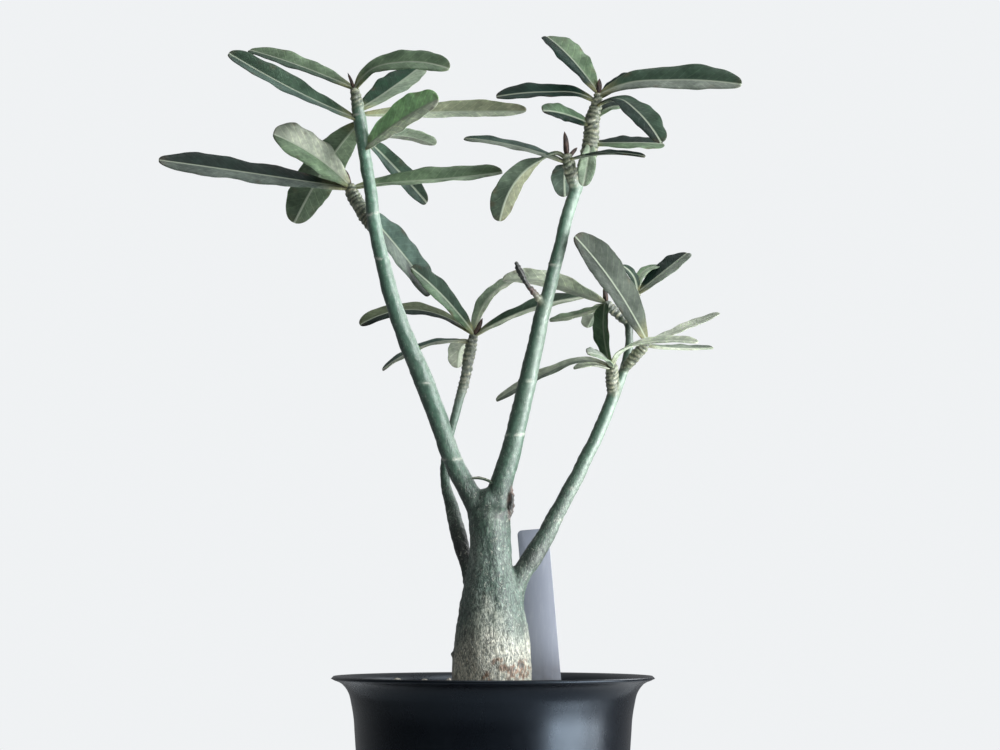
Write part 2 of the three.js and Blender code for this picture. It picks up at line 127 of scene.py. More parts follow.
# Closed skin over a stack of rings, (rings, points round, 3): four-cornered faces between the
# rings and a fan to a pole in the middle of the first and last. Rings turn left-handed seen from
# the first ring, so that faces look outwards
def ringSkin(rings, material=0, **values):
    count, around = rings.shape[:2]
    points = np.concatenate([rings.reshape(-1, 3), rings[:1].mean(1), rings[-1:].mean(1)])
    i, j = np.meshgrid(np.arange(count - 1), np.arange(around), indexing="ij")
    a, b = (i * around + j).ravel(), (i * around + (j + 1) % around).ravel()
    quads = np.stack([a, b, b + around, a + around], 1)
    k = np.arange(around)
    after, last, pole = (k + 1) % around, (count - 1) * around, count * around
    fans = np.concatenate([
        np.stack([np.full(around, pole), after, k], 1),
        np.stack([np.full(around, pole + 1), last + k, last + after], 1)])
    skin = {"points": points, "quads": quads, "fans": fans, "material": material}
    for name, rows in values.items():
        rows = np.asarray(rows, float)
        rows = np.broadcast_to(rows, rings.shape[:2] + rows.shape[-1:])
        flat = rows.reshape(-1, rows.shape[-1])
        skin[name] = np.concatenate([flat, rows[:1].mean(1), rows[-1:].mean(1)])
    return skin


# A value of each point under its name, a vector of three numbers or a colour of four
def giveValues(mesh, title, rows):
    kind, field = ("FLOAT_VECTOR", "vector") if rows.shape[1] == 3 else ("FLOAT_COLOR", "color")
    mesh.attributes.new(title, kind, "POINT").data.foreach_set(field, rows.astype(np.float32).ravel())


# One object from several skins. widths says which named values it keeps and how many numbers each
# has; a value that a skin lacks is filled with zeros
def makePiece(name, skins, materials, **widths):
    sizes = [len(skin["points"]) for skin in skins]
    starts = np.r_[0, np.cumsum(sizes)[:-1]]
    points = np.concatenate([skin["points"] for skin in skins])
    corners, totals, slots = [], [], []
    for start, skin in zip(starts, skins):
        for faces in (skin["quads"], skin["fans"]):
            corners.append((faces + start).ravel())
            totals.append(np.full(len(faces), faces.shape[1]))
            slots.append(np.full(len(faces), skin["material"]))
    corners, totals = np.concatenate(corners), np.concatenate(totals)
    mesh = bpy.data.meshes.new(name)
    mesh.vertices.add(len(points))
    mesh.vertices.foreach_set("co", (points * metre).astype(np.float32).ravel())
    mesh.loops.add(len(corners))
    mesh.loops.foreach_set("vertex_index", corners.astype(np.int32))
    mesh.polygons.add(len(totals))
    mesh.polygons.foreach_set("loop_start", (np.cumsum(totals) - totals).astype(np.int32))
    mesh.polygons.foreach_set("material_index", np.concatenate(slots).astype(np.int32))
    mesh.polygons.foreach_set("use_smooth", np.ones(len(totals), bool))
    for title, width in widths.items():
        rows = [skin.get(title, np.zeros((size, width))) for skin, size in zip(skins, sizes)]
        giveValues(mesh, title, np.concatenate(rows))
    mesh.update()
    mesh.validate()
    piece = bpy.data.objects.new(name, mesh)
    bpy.context.scene.collection.objects.link(piece)
    for material in materials:
        mesh.materials.append(material)
    return piece


def colour4(rows):
    return np.concatenate([rows, np.ones(rows.shape[:-1] + (1,))], -1)


# Tones of bark and leaves, kept off pure black
def toneRows(tone):
    return colour4(np.clip(tone, 0.004, 1))


# What a modifier makes of a piece becomes the piece's own mesh
def settle(piece):
    bpy.context.view_layer.update()
    shaped = piece.evaluated_get(bpy.context.evaluated_depsgraph_get())
    mesh, old = bpy.data.meshes.new_from_object(shaped), piece.data
    piece.modifiers.clear()
    piece.data = mesh
    bpy.data.meshes.remove(old)


# A finished piece takes the place of its solid
def handOver(piece, slot, *nodes):
    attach(piece, "root")
    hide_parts(*nodes)
    triangles = sum(len(p.vertices) - 2 for p in piece.data.polygons)
    print(f"{piece.name}: {triangles} triangles")


# A node's sockets, by name or number, linked to other sockets or set to values
def fill(tree, node, values):
    for name, value in values.items():
        if isinstance(value, bpy.types.NodeSocket):
            tree.links.new(value, node.inputs[name])
        else:
            node.inputs[name].default_value = value


# Shader building: a new node with its settings, its sockets filled
def add(tree, kind, inputs=None, **settings):
    node = tree.nodes.new("ShaderNode" + kind)
    for name, value in settings.items():
        setattr(node, name, value)
    fill(tree, node, inputs or {})
    return node


def opaque(colour):
    return (*[float(c) for c in colour[:3]], 1.0)


def newMaterial(name):
    material = bpy.data.materials.new(name)
    material.use_nodes = True
    tree = material.node_tree
    return material, tree, tree.nodes["Principled BSDF"]


def mixed(tree, factor, a, b, mode="MIX"):
    return add(tree, "Mix", {0: factor, 6: a, 7: b}, data_type="RGBA", blend_type=mode).outputs[2]


def reckon(tree, operation, a, b=0.0, c=0.0):
    inputs = {0: a, 1: b, 2: c} if operation in ("MULTIPLY_ADD", "PINGPONG") else {0: a, 1: b}
    return add(tree, "Math", inputs, operation=operation).outputs[0]


# From 0 to 1 as a value goes from low to high, or back where low is the larger
def eased(tree, value, low, high, start=0.0, end=1.0):
    inputs = {"Value": value, "From Min": low, "From Max": high, "To Min": start, "To Max": end}
    return add(tree, "MapRange", inputs, interpolation_type="SMOOTHSTEP").outputs[0]


def placed(tree, vector, scale):
    return add(tree, "Mapping", {"Vector": vector, "Scale": scale}).outputs[0]


def attribute(tree, name):
    return add(tree, "Attribute", attribute_name=name)


def objectPlace(tree):
    return add(tree, "TexCoord").outputs["Object"]


def noise(tree, vector, scale, detail=4.0, roughness=0.55):
    inputs = {"Vector": vector, "Scale": scale, "Detail": detail, "Roughness": roughness}
    return add(tree, "TexNoise", inputs).outputs["Fac"]


def bumped(tree, height, distance, strength, normal=None):
    inputs = {"Height": height, "Distance": distance, "Strength": strength}
    if normal:
        inputs["Normal"] = normal
    return add(tree, "Bump", inputs).outputs[0]


# Bark: living green skin, finely netted and cream at the base, pale across the ring scars. In every
# material a scale counts repeats to a metre, and a reach or relief is in metres
barkLook = {
    "crack": shade(40, 46, 40), "crackShare": 0.45,
    "bloom": shade(188, 202, 190),
    "fleck": shade(214, 216, 200),
    "mottleDark": (0.02, 0.035, 0.03, 1),
    "dashDark": (0.41, 0.45, 0.44, 1), "dashLight": (1.3, 1.27, 1.23, 1),
    "netStretch": (1.0, 1.0, 0.3), "netScale": 1300.0,
    "warpScale": 240.0, "warpReach": 0.0016,
    "patchScale": 300.0, "mottleScale": 420.0, "cloudScale": 70.0, "dashScale": 1500.0,
    "fleckScale": 760.0,
    "mottleRelief": 0.00006, "dashRelief": 0.0003, "crackRelief": 0.0002,
    "roughness": (0.28, 0.4), "rougherBase": 0.14, "specular": 0.9,
}


# Dark and light dashes lie over the skin's tone, pale flecks over those, and cracks over all, in
# patches along the edges of long warped cells. The mesh says how strong the net and the flecks are
def barkMaterial():
    material, tree, shader = newMaterial("bark")
    look, place = barkLook, objectPlace(tree)
    tone = attribute(tree, "tone").outputs["Color"]
    skin = add(tree, "SeparateXYZ", {0: attribute(tree, "skin").outputs["Vector"]})
    netted, speckled = skin.outputs[0], skin.outputs[1]
    drift = add(tree, "TexNoise", {"Vector": place, "Scale": look["warpScale"], "Detail": 2.0})
    warp = add(tree, "VectorMath", {0: drift.outputs["Color"], "Scale": look["warpReach"]},
               operation="SCALE")
    moved = add(tree, "VectorMath", {0: place, 1: warp.outputs[0]}, operation="ADD").outputs[0]
    cells = add(tree, "TexVoronoi", {
        "Vector": placed(tree, moved, look["netStretch"]), "Scale": look["netScale"]},
        feature="DISTANCE_TO_EDGE")
    line = eased(tree, cells.outputs["Distance"], 0.2, 0.03)
    patchy = eased(tree, noise(tree, placed(tree, place, (1, 1, 0.4)), look["patchScale"]), 0.4, 0.62)
    crack = reckon(tree, "MULTIPLY", reckon(tree, "MULTIPLY", line, patchy), netted)
    mottle = noise(tree, place, look["mottleScale"], 5.0, 0.65)
    cloud = noise(tree, placed(tree, place, (1, 1, 0.45)), look["cloudScale"], 3.0)
    dashes = noise(tree, placed(tree, moved, (1, 1, 0.34)), look["dashScale"], 3.0, 0.7)
    flecks = noise(tree, placed(tree, moved, (1, 1, 0.7)), look["fleckScale"], 3.0, 0.75)
    lively = mixed(tree, eased(tree, mottle, 0.32, 0.68, 0.0, 0.36), tone, look["mottleDark"])
    bloomed = mixed(tree, eased(tree, cloud, 0.5, 0.78, 0.0, 0.35), lively, opaque(look["bloom"]))
    dash = mixed(tree, eased(tree, dashes, 0.43, 0.58), look["dashDark"], look["dashLight"])
    dashed = mixed(tree, netted, bloomed, dash, "MULTIPLY")
    fleck = reckon(tree, "MULTIPLY", eased(tree, flecks, 0.58, 0.66), speckled)
    dotted = mixed(tree, fleck, dashed, opaque(look["fleck"]))
    split = mixed(tree, reckon(tree, "MULTIPLY", crack, look["crackShare"]), dotted,
                  opaque(look["crack"]))
    rubbed = eased(tree, mottle, 0.3, 0.7, *look["roughness"])
    fine = bumped(tree, mottle, look["mottleRelief"], 0.5)
    rough = bumped(tree, reckon(tree, "MULTIPLY", dashes, netted), look["dashRelief"], 0.8, fine)
    deep = bumped(tree, reckon(tree, "SUBTRACT", 1.0, crack), look["crackRelief"], 0.7, rough)
    fill(tree, shader, {
        "Base Color": split, "Normal": deep, "Specular IOR Level": look["specular"],
        "Roughness": reckon(tree, "MULTIPLY_ADD", netted, look["rougherBase"], rubbed)})
    return material


# Leaf: tone from the mesh, a pale midrib, fine side veins that run out and forward, soft mottling.
# Vein spacing is in millimetres, lean is how far a vein runs forward for each millimetre out
leafLook = {
    "rib": shade(176, 186, 166), "ribShare": 0.62,
    "veinSpacing": 4.4, "veinLean": 0.9, "veinTint": (1.32, 1.32, 1.25, 1),
    "mottleDark": (0.012, 0.02, 0.014, 1), "mottleScale": 520.0,
    "cloudDark": (0.76, 0.78, 0.76, 1), "cloudLight": (1.34, 1.31, 1.29, 1), "cloudScale": 95.0,
    "veinRelief": 0.00018, "mottleRelief": 0.00004,
    "roughness": (0.4, 0.56), "specular": 0.08,
    "glowWeight": 0.25, "glowRadius": (0.85, 1.0, 0.75), "glowScale": 0.0015,
}


# The mesh gives x out from the midrib, the run along it and 1 on the upper face; a side vein lies
# wherever run - lean |x| comes round to a whole spacing
def leafMaterial():
    material, tree, shader = newMaterial("leaves")
    look, place = leafLook, objectPlace(tree)
    tone = attribute(tree, "tone").outputs["Color"]
    blade = add(tree, "SeparateXYZ", {0: attribute(tree, "blade").outputs["Vector"]})
    out = reckon(tree, "ABSOLUTE", blade.outputs[0])
    run, upper = blade.outputs[1], blade.outputs[2]
    rib = eased(tree, out, 0.75, 0.3)
    slanted = reckon(tree, "MULTIPLY_ADD", out, -look["veinLean"], run)
    shifted = reckon(tree, "MULTIPLY_ADD", noise(tree, place, 160.0, 2.0), 3.0, slanted)
    beat = reckon(tree, "PINGPONG", reckon(tree, "DIVIDE", shifted, look["veinSpacing"]), 0.5)
    vein = reckon(tree, "MULTIPLY", eased(tree, beat, 0.09, 0.0), eased(tree, out, 0.5, 1.5))
    mottle = noise(tree, place, look["mottleScale"], 5.0, 0.6)
    cloud = noise(tree, place, look["cloudScale"], 3.0)
    mottled = mixed(tree, eased(tree, mottle, 0.3, 0.7, 0.0, 0.28), tone, look["mottleDark"])
    patch = mixed(tree, eased(tree, cloud, 0.34, 0.66), look["cloudDark"], look["cloudLight"])
    clouded = mixed(tree, 1.0, mottled, patch, "MULTIPLY")
    veined = mixed(tree, vein, clouded, look["veinTint"], "MULTIPLY")
    ribbed = mixed(tree, reckon(tree, "MULTIPLY", rib, look["ribShare"]), veined, opaque(look["rib"]))
    sunk = reckon(tree, "MULTIPLY", reckon(tree, "ADD", vein, rib), reckon(tree, "SUBTRACT", 0.5, upper))
    relief = bumped(tree, sunk, look["veinRelief"], 0.7)
    fill(tree, shader, {
        "Base Color": ribbed, "Roughness": eased(tree, mottle, 0.3, 0.7, *look["roughness"]),
        "Normal": bumped(tree, mottle, look["mottleRelief"], 0.6, relief),
        "Specular IOR Level": look["specular"], "Subsurface Weight": look["glowWeight"],
        "Subsurface Radius": look["glowRadius"], "Subsurface Scale": look["glowScale"]})
    return material


# Dry buds: dull brown with darker streaks along them
budLook = {
    "dark": shade(34, 26, 24), "pale": shade(96, 72, 62), "streakScale": 900.0, "relief": 0.0004,
    "roughness": 0.6,
}


def budMaterial():
    material, tree, shader = newMaterial("dryBuds")
    look, place = budLook, objectPlace(tree)
    streak = noise(tree, placed(tree, place, (1, 1, 0.3)), look["streakScale"], 4.0)
    colour = mixed(tree, eased(tree, streak, 0.35, 0.7), opaque(look["dark"]), opaque(look["pale"]))
    fill(tree, shader, {
        "Base Color": colour, "Roughness": look["roughness"],
        "Normal": bumped(tree, streak, look["relief"], 0.8)})
    return material


# Pot: blue-black satin plastic with faint dust and moulding grain
potLook = {
    "plastic": shade(5, 7, 12), "dust": shade(70, 78, 90), "dustShare": 0.06, "dustScale": 45.0,
    "grainScale": 2400.0, "grainRelief": 0.0001,
    "roughness": (0.26, 0.36), "specular": 0.36, "tint": (0.66, 0.82, 1, 1),
}


def potMaterial():
    material, tree, shader = newMaterial("potPlastic")
    look, place = potLook, objectPlace(tree)
    dust = noise(tree, placed(tree, place, (1, 1, 0.5)), look["dustScale"], 6.0, 0.7)
    grain = noise(tree, place, look["grainScale"], 3.0)
    colour = mixed(tree, eased(tree, dust, 0.5, 0.8, 0.0, look["dustShare"]), opaque(look["plastic"]),
                   opaque(look["dust"]))
    fill(tree, shader, {
        "Base Color": colour, "Roughness": eased(tree, dust, 0.35, 0.75, *look["roughness"]),
        "Normal": bumped(tree, grain, look["grainRelief"], 0.25),
        "Specular IOR Level": look["specular"], "Specular Tint": look["tint"]})
    return material


# Grit: each grain's own tone, specked and pitted
gritLook = {
    "speckDark": (0.02, 0.017, 0.014, 1), "speckScale": 1500.0,
    "poreDark": (0.015, 0.012, 0.01, 1), "poreScale": 1700.0, "relief": 0.0005, "roughness": 0.9,
}


def gritMaterial():
    material, tree, shader = newMaterial("grit")
    look, place = gritLook, objectPlace(tree)
    tone = attribute(tree, "tone").outputs["Color"]
    pores = add(tree, "TexVoronoi", {"Vector": place, "Scale": look["poreScale"]}, feature="F1")
    speck = noise(tree, place, look["speckScale"], 5.0, 0.7)
    hollow = eased(tree, pores.outputs["Distance"], 0.42, 0.12)
    darker = mixed(tree, eased(tree, speck, 0.35, 0.7, 0.0, 0.55), tone, look["speckDark"])
    pitted = mixed(tree, reckon(tree, "MULTIPLY", hollow, 0.45), darker, look["poreDark"])
    rough = bumped(tree, speck, look["relief"], 0.7)
    relief = bumped(tree, reckon(tree, "SUBTRACT", 1.0, hollow), look["relief"], 0.7, rough)
    fill(tree, shader, {"Base Color": pitted, "Roughness": look["roughness"], "Normal": relief})
    return material


# Label: grey plastic with long scuffs, soiled where it leaves the mix
labelLook = {
    "plastic": shade(137, 143, 156), "scuffed": shade(177, 181, 189), "soil": shade(96, 88, 78),
    "soilHeights": (0.137, 0.126), "scuffScale": 700.0, "soilScale": 90.0, "roughness": (0.38, 0.55),
    "scuffRelief": 0.0001,
}


def labelMaterial():
    material, tree, shader = newMaterial("labelPlastic")
    look, place = labelLook, objectPlace(tree)
    height = add(tree, "SeparateXYZ", {0: place}).outputs[2]
    scuff = noise(tree, placed(tree, place, (1, 1, 0.12)), look["scuffScale"], 5.0, 0.7)
    film = noise(tree, place, look["soilScale"], 4.0)
    worn = mixed(tree, eased(tree, scuff, 0.45, 0.8, 0.0, 0.25), opaque(look["plastic"]),
                 opaque(look["scuffed"]))
    soil = reckon(tree, "MULTIPLY", eased(tree, height, *look["soilHeights"]),
                  eased(tree, film, 0.35, 0.6))
    stained = mixed(tree, reckon(tree, "MULTIPLY", soil, 0.5), worn, opaque(look["soil"]))
    fill(tree, shader, {
        "Base Color": stained, "Roughness": eased(tree, scuff, 0.3, 0.7, *look["roughness"]),
        "Normal": bumped(tree, scuff, look["scuffRelief"], 0.2)})
    return material


bark, leafSkin, budSkin = barkMaterial(), leafMaterial(), budMaterial()

# The trunk: centre and radius, from the blunt taproot up to the fork
trunkLine = [
    [0, 0, 89, 4], [0, 0, 93, 9.5], [0, 0, 101, 14], [-0.7, 0, 113, 17.6], [-0.7, 0, 129, 18.4],
    [-0.7, 0, 142, 17.7], [-0.6, 0, 151, 16.7], [-0.6, 0, 160.5, 15], [-0.9, 0, 169.5, 13.1],
    [-1.2, 0, 180, 10.5], [-1, 0, 190.5, 9.6], [-1.5, 0, 200, 9.6], [-2.2, -0.5, 208, 8.6],
    [-2.5, -1, 210.5, 6.5],
]

# Branches: centre points with radii, how far below its end the leafy shoot begins, the heights of
# pale ring scars, from which height up the bark is rough with old leaf scars, dark stretches as
# height, reach and strength (painted shade in the fork on the left and right branches, dark bark
# with painted shade low on the rear and low branches), and the painted highlight on the side
# towards the lamps at +X as heights from and to which it grows, how far round it begins and its
# strength; tipShade darkens the rough end
limbs = {
    "left": {
        "cut": 33, "rings": [230.1, 264.9, 322.8, 343, 388], "rough": 393,
        # painted shade in the fork
        "dark": [(213, 9, 0.5)],
        "line": [
            [-5.5, 0, 206, 6], [-11.8, -1, 216.5, 4.9], [-18.8, -2, 230, 4.5], [-25.3, -4, 248.5, 4.5],
            [-32, -6, 266.5, 4.5], [-39.9, -8, 285, 4.1], [-46.5, -10, 303.5, 3.7], [-51.2, -11, 322, 3.4],
            [-55, -12.5, 340.5, 3.2], [-56.5, -13.5, 354, 3], [-59.5, -15, 372.5, 2.9],
            [-61.5, -16, 386.5, 3.1], [-64, -17, 401.5, 2],
        ],
    },
    "leftSide": {
        "cut": 19, "rings": [], "rough": 334,
        "line": [
            [-54, -11, 335, 2.5], [-58, -6, 341, 3.2], [-62.5, -2, 348.5, 3.2], [-65.5, 0, 354, 2.9],
            [-67, 1, 358.5, 2],
        ],
    },
    "right": {
        "cut": 31, "rings": [241.4, 265.9, 320.2], "rough": 362,
        # painted shade in the fork, and the reach of the painted highlight down the side towards the lamps
        "dark": [(211, 7, 0.35)], "paintedHighlightReach": (215, 290, -0.4, 0.5),
        "line": [
            [1, 0, 206.5, 7], [3, -1, 216, 5.6], [7.3, -2, 230, 4.9], [11.8, -3, 248.5, 4.4],
            [18.3, -5, 276, 4], [22.4, -6, 295.5, 3.5], [25.4, -7, 306.5, 3.2], [29.8, -8, 323.5, 3],
            [35.3, -9, 345.5, 2.9], [39, -9, 357, 3], [43.3, -8, 367.5, 3.7], [45.5, -7, 379, 3.6],
            [46, -6, 386.5, 3.5], [48, -5, 395, 2.7], [49, -5, 400.5, 1.8],
        ],
    },
    "rightSide": {
        "cut": 9, "rings": [], "rough": 356,
        "line": [[38.5, -9, 355.5, 2.6], [36.5, -12, 361, 3], [35, -14, 366, 2.8], [34, -15, 371, 1.8]],
    },
    "rear": {
        "cut": 8, "rings": [], "rough": 262, "tipShade": 0.5,
        # dark bark at the base together with painted shade
        "dark": [(189, 12, 0.9)],
        "line": [
            [-10.8, 2.5, 174, 3.4], [-12.1, 4.5, 180, 2.8], [-13.4, 7, 185, 3.1], [-14.6, 9, 189, 3.5],
            [-16.4, 12, 196.5, 3.6], [-19.2, 18, 208, 3.2],
            [-22.2, 22, 219, 2.4], [-22.5, 26, 230.5, 2], [-20, 29, 243, 1.9], [-17, 31, 255.5, 1.9],
            [-14, 33, 266.5, 2.3], [-12, 34, 277, 2.6], [-10, 35, 286.5, 2.5], [-9, 35, 290.5, 1.8],
        ],
    },
    "low": {
        "cut": 7, "rings": [202, 216.6], "rough": 299,
        # dark bark together with painted shade at the base and where the twig leaves; then the reach of
        # the painted highlight
        "dark": [(184, 8, 0.75), (293, 9, 0.75)], "paintedHighlightReach": (163, 205, 0, 0.6),
        "line": [
            [7.5, 1.5, 163, 6.8], [9.4, 2, 170, 5.7], [13, 3, 177, 4.6], [18, 4, 184.5, 4.8],
            [25, 6, 196, 4.2], [31.3, 8, 208, 3.8], [37, 9.5, 218.5, 3.5], [43.6, 11, 231.5, 3.2],
            [50.4, 12, 246, 3], [56, 13, 259.5, 3], [60.5, 15, 270.5, 2.3], [63.5, 18, 282, 2],
            [64, 21, 294, 2], [66.5, 24, 304.5, 1.9], [68, 25, 310.5, 1.4],
        ],
    },
    "lowLeft": {
        "cut": 8, "rings": [], "rough": 258, "tipShade": 0.95,
        "line": [[56.5, 13, 261, 2.6], [55.5, 10, 267.5, 3], [55.5, 8, 273, 2.6], [55, 7, 276, 1.8]],
    },
    "lowRight": {
        "cut": 6, "rings": [], "rough": 270, "tipShade": 0.95,
        "line": [[61.5, 15, 272.5, 1.8], [65.5, 9, 278, 2.6], [69.5, 5, 282, 2.4], [72, 2, 285, 1.6]],
    },
    "lowTwig": {
        "cut": 5.5, "rings": [], "rough": 292, "tipShade": 0.2,
        "line": [[64, 21, 294.5, 1.6], [58.5, 20, 299, 2.2], [54.5, 18, 302.5, 2], [52.5, 17, 305, 1.4]],
    },
}
sideTwig = [
    [24.5, -7, 300, 1.6], [20.5, -9, 305, 1.5], [15.5, -11, 311, 1.1], [12.5, -12, 316.5, 1.5],
    [10.5, -13, 321, 0.6],
]
forkScar = [[7.2, -3.5, 203, 0.7], [8.2, -4, 208, 1.5], [8.4, -4, 213, 1.4], [7.8, -3.5, 218, 0.6]]
tinyLeaf = [[2, -4, 217.5], [-5, -5.5, 221], [-10, -7, 221]]

# How the stems are shaped and coloured
stemStyle = {
    "voxel": 0.75,          # size of the net that the skin starts from
    "filletSize": 0.45,     # how softly branches flow into each other
    "scarSpacing": 2.3, "scarHeight": 0.2,      # rings of old leaf scars near the tips
    "stubSpacing": 1.9, "stubTurn": 2.4, "stubHeight": 0.22,    # bumps, each turned on from the last
    "ringHeight": 0.16,
    "ribs": 7, "ribHeight": 0.22,               # low ribs down the trunk
    "knot": (-18.2, -2, 140.2), "knotHeight": 1.5,      # small dark bump on the left of the trunk
    # painted shadow along this line
    "creaseShadow": [[8.4, -4.5, 207], [5.2, -7.6, 204.8], [1, -9.3, 203.2]],   # under the fork's scar
    # brown stains as x, height and size, and a dark mark among them as x and height
    "stains": [[2, 137, 3], [5, 134, 3], [9, 132.5, 4.5], [14, 132, 4], [13, 136, 3], [-3, 130, 3]],
    "burnt": (12.6, 135.4),
    "base": shade(218, 219, 205),
    "middle": shade(91, 114, 103),
    "green": shade(84, 117, 99),
    "upperGain": 0.65,                          # how much lighter the upper stems are
    "tip": shade(152, 156, 128),
    "lip": shade(214, 208, 178),                # worn rims of the old leaf scars
    # painted highlight on the side towards the lamps: its reach, then its tone
    "paintedHighlightReach": (215, 300, 0.1, 0.35),            # for a branch that has none of its own
    "paintedHighlight": shade(190, 207, 192),
    # painted shade on the side turned from the lamps; lowLoss darkens the branches near the fork
    "paintedShadeLoss": 0.5, "lowLoss": 0.22,         # darker on the shaded side and near the fork
    "ring": shade(214, 220, 204),
    "brown": shade(150, 108, 74),
    "scar": shade(108, 80, 70),
    "twig": shade(92, 58, 52),
    "dark": shade(34, 34, 30),
}


# A line ready for measuring from: centres, radii, directions and the distance run at close steps
def prepared(points, spare=0.0):
    whole = lineLength(points)
    shares = np.linspace(0, 1 - spare / whole, int(whole / 1.1) + 3)
    rows = alongLine(points, shares)
    way = unit(np.gradient(rows[:, :3], axis=0))
    side, across = crosswise(way)
    return {"centre": rows[:, :3], "radius": rows[:, 3], "way": way, "side": side, "across": across,
            "run": shares * whole, "taper": np.gradient(rows[:, 3], shares * whole)}


# Nearest place on a line to each point: how far outside the line's tube, which way is out, the
# distance run and the turn about the line
def nearest(line, points):
    centre = line["centre"]
    at = np.argmin((centre**2).sum(1) - 2 * points @ centre.T, axis=1)
    offset = points - centre[at]
    slide = (offset * line["way"][at]).sum(1)
    slide = np.where(at == 0, np.maximum(slide, 0), slide)
    slide = np.where(at == len(centre) - 1, np.minimum(slide, 0), slide)
    out = offset - slide[:, None] * line["way"][at]
    distance = np.maximum(np.linalg.norm(out, axis=1), 1e-6)
    turn = np.arctan2((out * line["across"][at]).sum(1), (out * line["side"][at]).sum(1))
    height = distance - line["radius"][at] - slide * line["taper"][at]
    return height, out / distance[:, None], line["run"][at] + slide, turn


# Low swellings that all bark has, broad ones with small ones on them
def swellings(points):
    return 0.16 * waves(points, 14, 21) + 0.07 * waves(points, 4.5, 22)


# Relief and colour of a branch's bark by distance run, turn, height and how far it looks towards
# +X, the side towards the lamps: painted shade on the far side, a painted highlight on the near
# side. A ring scar is a bell of the height above it less half a bell beside it;
# where the bark is rough, the old leaf scars are a cosine of the run with bells of run and turn
def barkDetail(limb, run, turn, points, sunward):
    s, height = stemStyle, points[:, 2]
    tone = s["green"] * (1 + s["upperGain"] * smooth(285, 345, height)[:, None])
    # painted shade on the side turned from the lamps, then a painted highlight on the side towards them
    tone = tone * (1 - s["paintedShadeLoss"] * smooth(-0.25, -0.9, sunward)[:, None])
    start, full, edge, strength = limb.get("paintedHighlightReach", s["paintedHighlightReach"])
    paintedHighlight = smooth(edge, edge + 0.7, sunward) * smooth(start, full, height) * strength
    tone = toward(tone, s["paintedHighlight"], paintedHighlight)
    # dark stretches: painted shade in the fork, with dark bark on some branches
    for middle, reach, share in limb.get("dark", []):
        tone = tone * (1 - share * bell(height - middle, reach)[:, None])
    rise, pale = np.zeros(len(run)), np.zeros(len(run))
    for i, z in enumerate(limb["rings"]):
        level = height - z + 0.5 * np.sin(turn + 2.1 * i) + 0.25 * np.sin(2 * turn + i)
        rise += s["ringHeight"] * (bell(level, 0.55) - 0.5 * bell(level - 0.9, 0.4))
        part = smooth(-0.7, 0.5, np.sin(turn * 1.5 + 1.3 * i) + 0.3)
        pale = np.maximum(pale, bell(level, 0.5) * part)
    rough = smooth(limb["rough"] - 6, limb["rough"] + 6, height)
    beat = run / s["scarSpacing"] + 0.22 * np.sin(turn) + 0.3 * waves(points, 9, 5)
    ridge = np.cos(2 * math.pi * beat)
    rise += rough * s["scarHeight"] * (ridge + 0.6 * waves(points, 1.9, 6))
    stubs = np.arange(int(run.max() / s["stubSpacing"]) + 1)
    gap = np.abs((turn[:, None] - stubs * s["stubTurn"] + math.pi) % (2 * math.pi) - math.pi)
    near = (bell(run[:, None] - stubs * s["stubSpacing"], 0.85) * bell(gap, 0.32)).sum(1) * rough
    rise += s["stubHeight"] * near
    tipTone = s["tip"] * limb.get("tipShade", 1) * (1 + 0.35 * waves(points, 4, 7)[:, None])
    tone = toward(tone, tipTone, 0.75 * rough)
    lip = smooth(0.5, 0.95, ridge + 0.35 * waves(points, 2.2, 8))
    lip = lip * smooth(-0.9, 0.5, waves(points, 3.1, 9))
    tone = toward(tone, s["lip"], 0.8 * rough * lip)
    tone = tone * (1 - 0.6 * (rough * smooth(-0.1, -0.9, ridge))[:, None])
    return rise, toward(tone, s["ring"], np.maximum(pale, 0.6 * np.minimum(near, 1))), rough


# 1 at the middle of the knot, exp(-distance^2 / spread) around it
def knotAt(points, spread):
    return np.exp(-(((points - stemStyle["knot"]) ** 2).sum(1)) / spread)


# Colour of the trunk: cream below, grey-green above, with painted shade in the fork, on the left
# side and in the crease under the fork's scar, with brown stains and a few dark marks near the mix
def trunkTone(points):
    s, (x, y, z) = stemStyle, points.T
    height = z + 5 * waves(points, 30, 11) + 2 * waves(points, 9, 12)
    tone = toward(s["middle"], s["base"], smooth(165, 141, height - 0.3 * x))
    tone = toward(tone, s["green"] * 0.75, smooth(178, 212, height))
    # painted shade in the fork
    tone = tone * (1 - 0.35 * bell(height - 207, 6)[:, None])
    # painted shade on the left side, turned from the lamps
    tone = tone * (1 - 0.06 * smooth(-5, -14, x + 3 * waves(points, 12, 15))[:, None])
    stains = np.zeros(len(points))
    for stainX, stainZ, size in s["stains"]:
        stains = np.maximum(stains, bell(np.hypot(x - stainX, z - stainZ), size) * (y < 0))
    stains = smooth(0.3, 0.75, stains * (0.85 + 0.5 * waves(points, 2.8, 13)))
    tone = toward(tone, s["brown"], 0.9 * stains)
    burnt = bell(x - s["burnt"][0], 2.2) * bell(z - s["burnt"][1], 1.6)
    burnt = smooth(0.3, 0.7, burnt * (0.9 + 0.5 * waves(points, 2, 14)))
    tone = toward(tone, s["dark"], 0.85 * burnt)
    # painted shadow along the crease under the fork's scar
    creaseShadow = alongLine(s["creaseShadow"], np.linspace(0, 1, 14))
    gap = np.linalg.norm(points[:, None] - creaseShadow[None], axis=2).min(1)
    tone = toward(tone, s["dark"], 0.85 * smooth(1.5, 0.5, gap))
    return toward(tone, s["dark"], knotAt(points, 3))


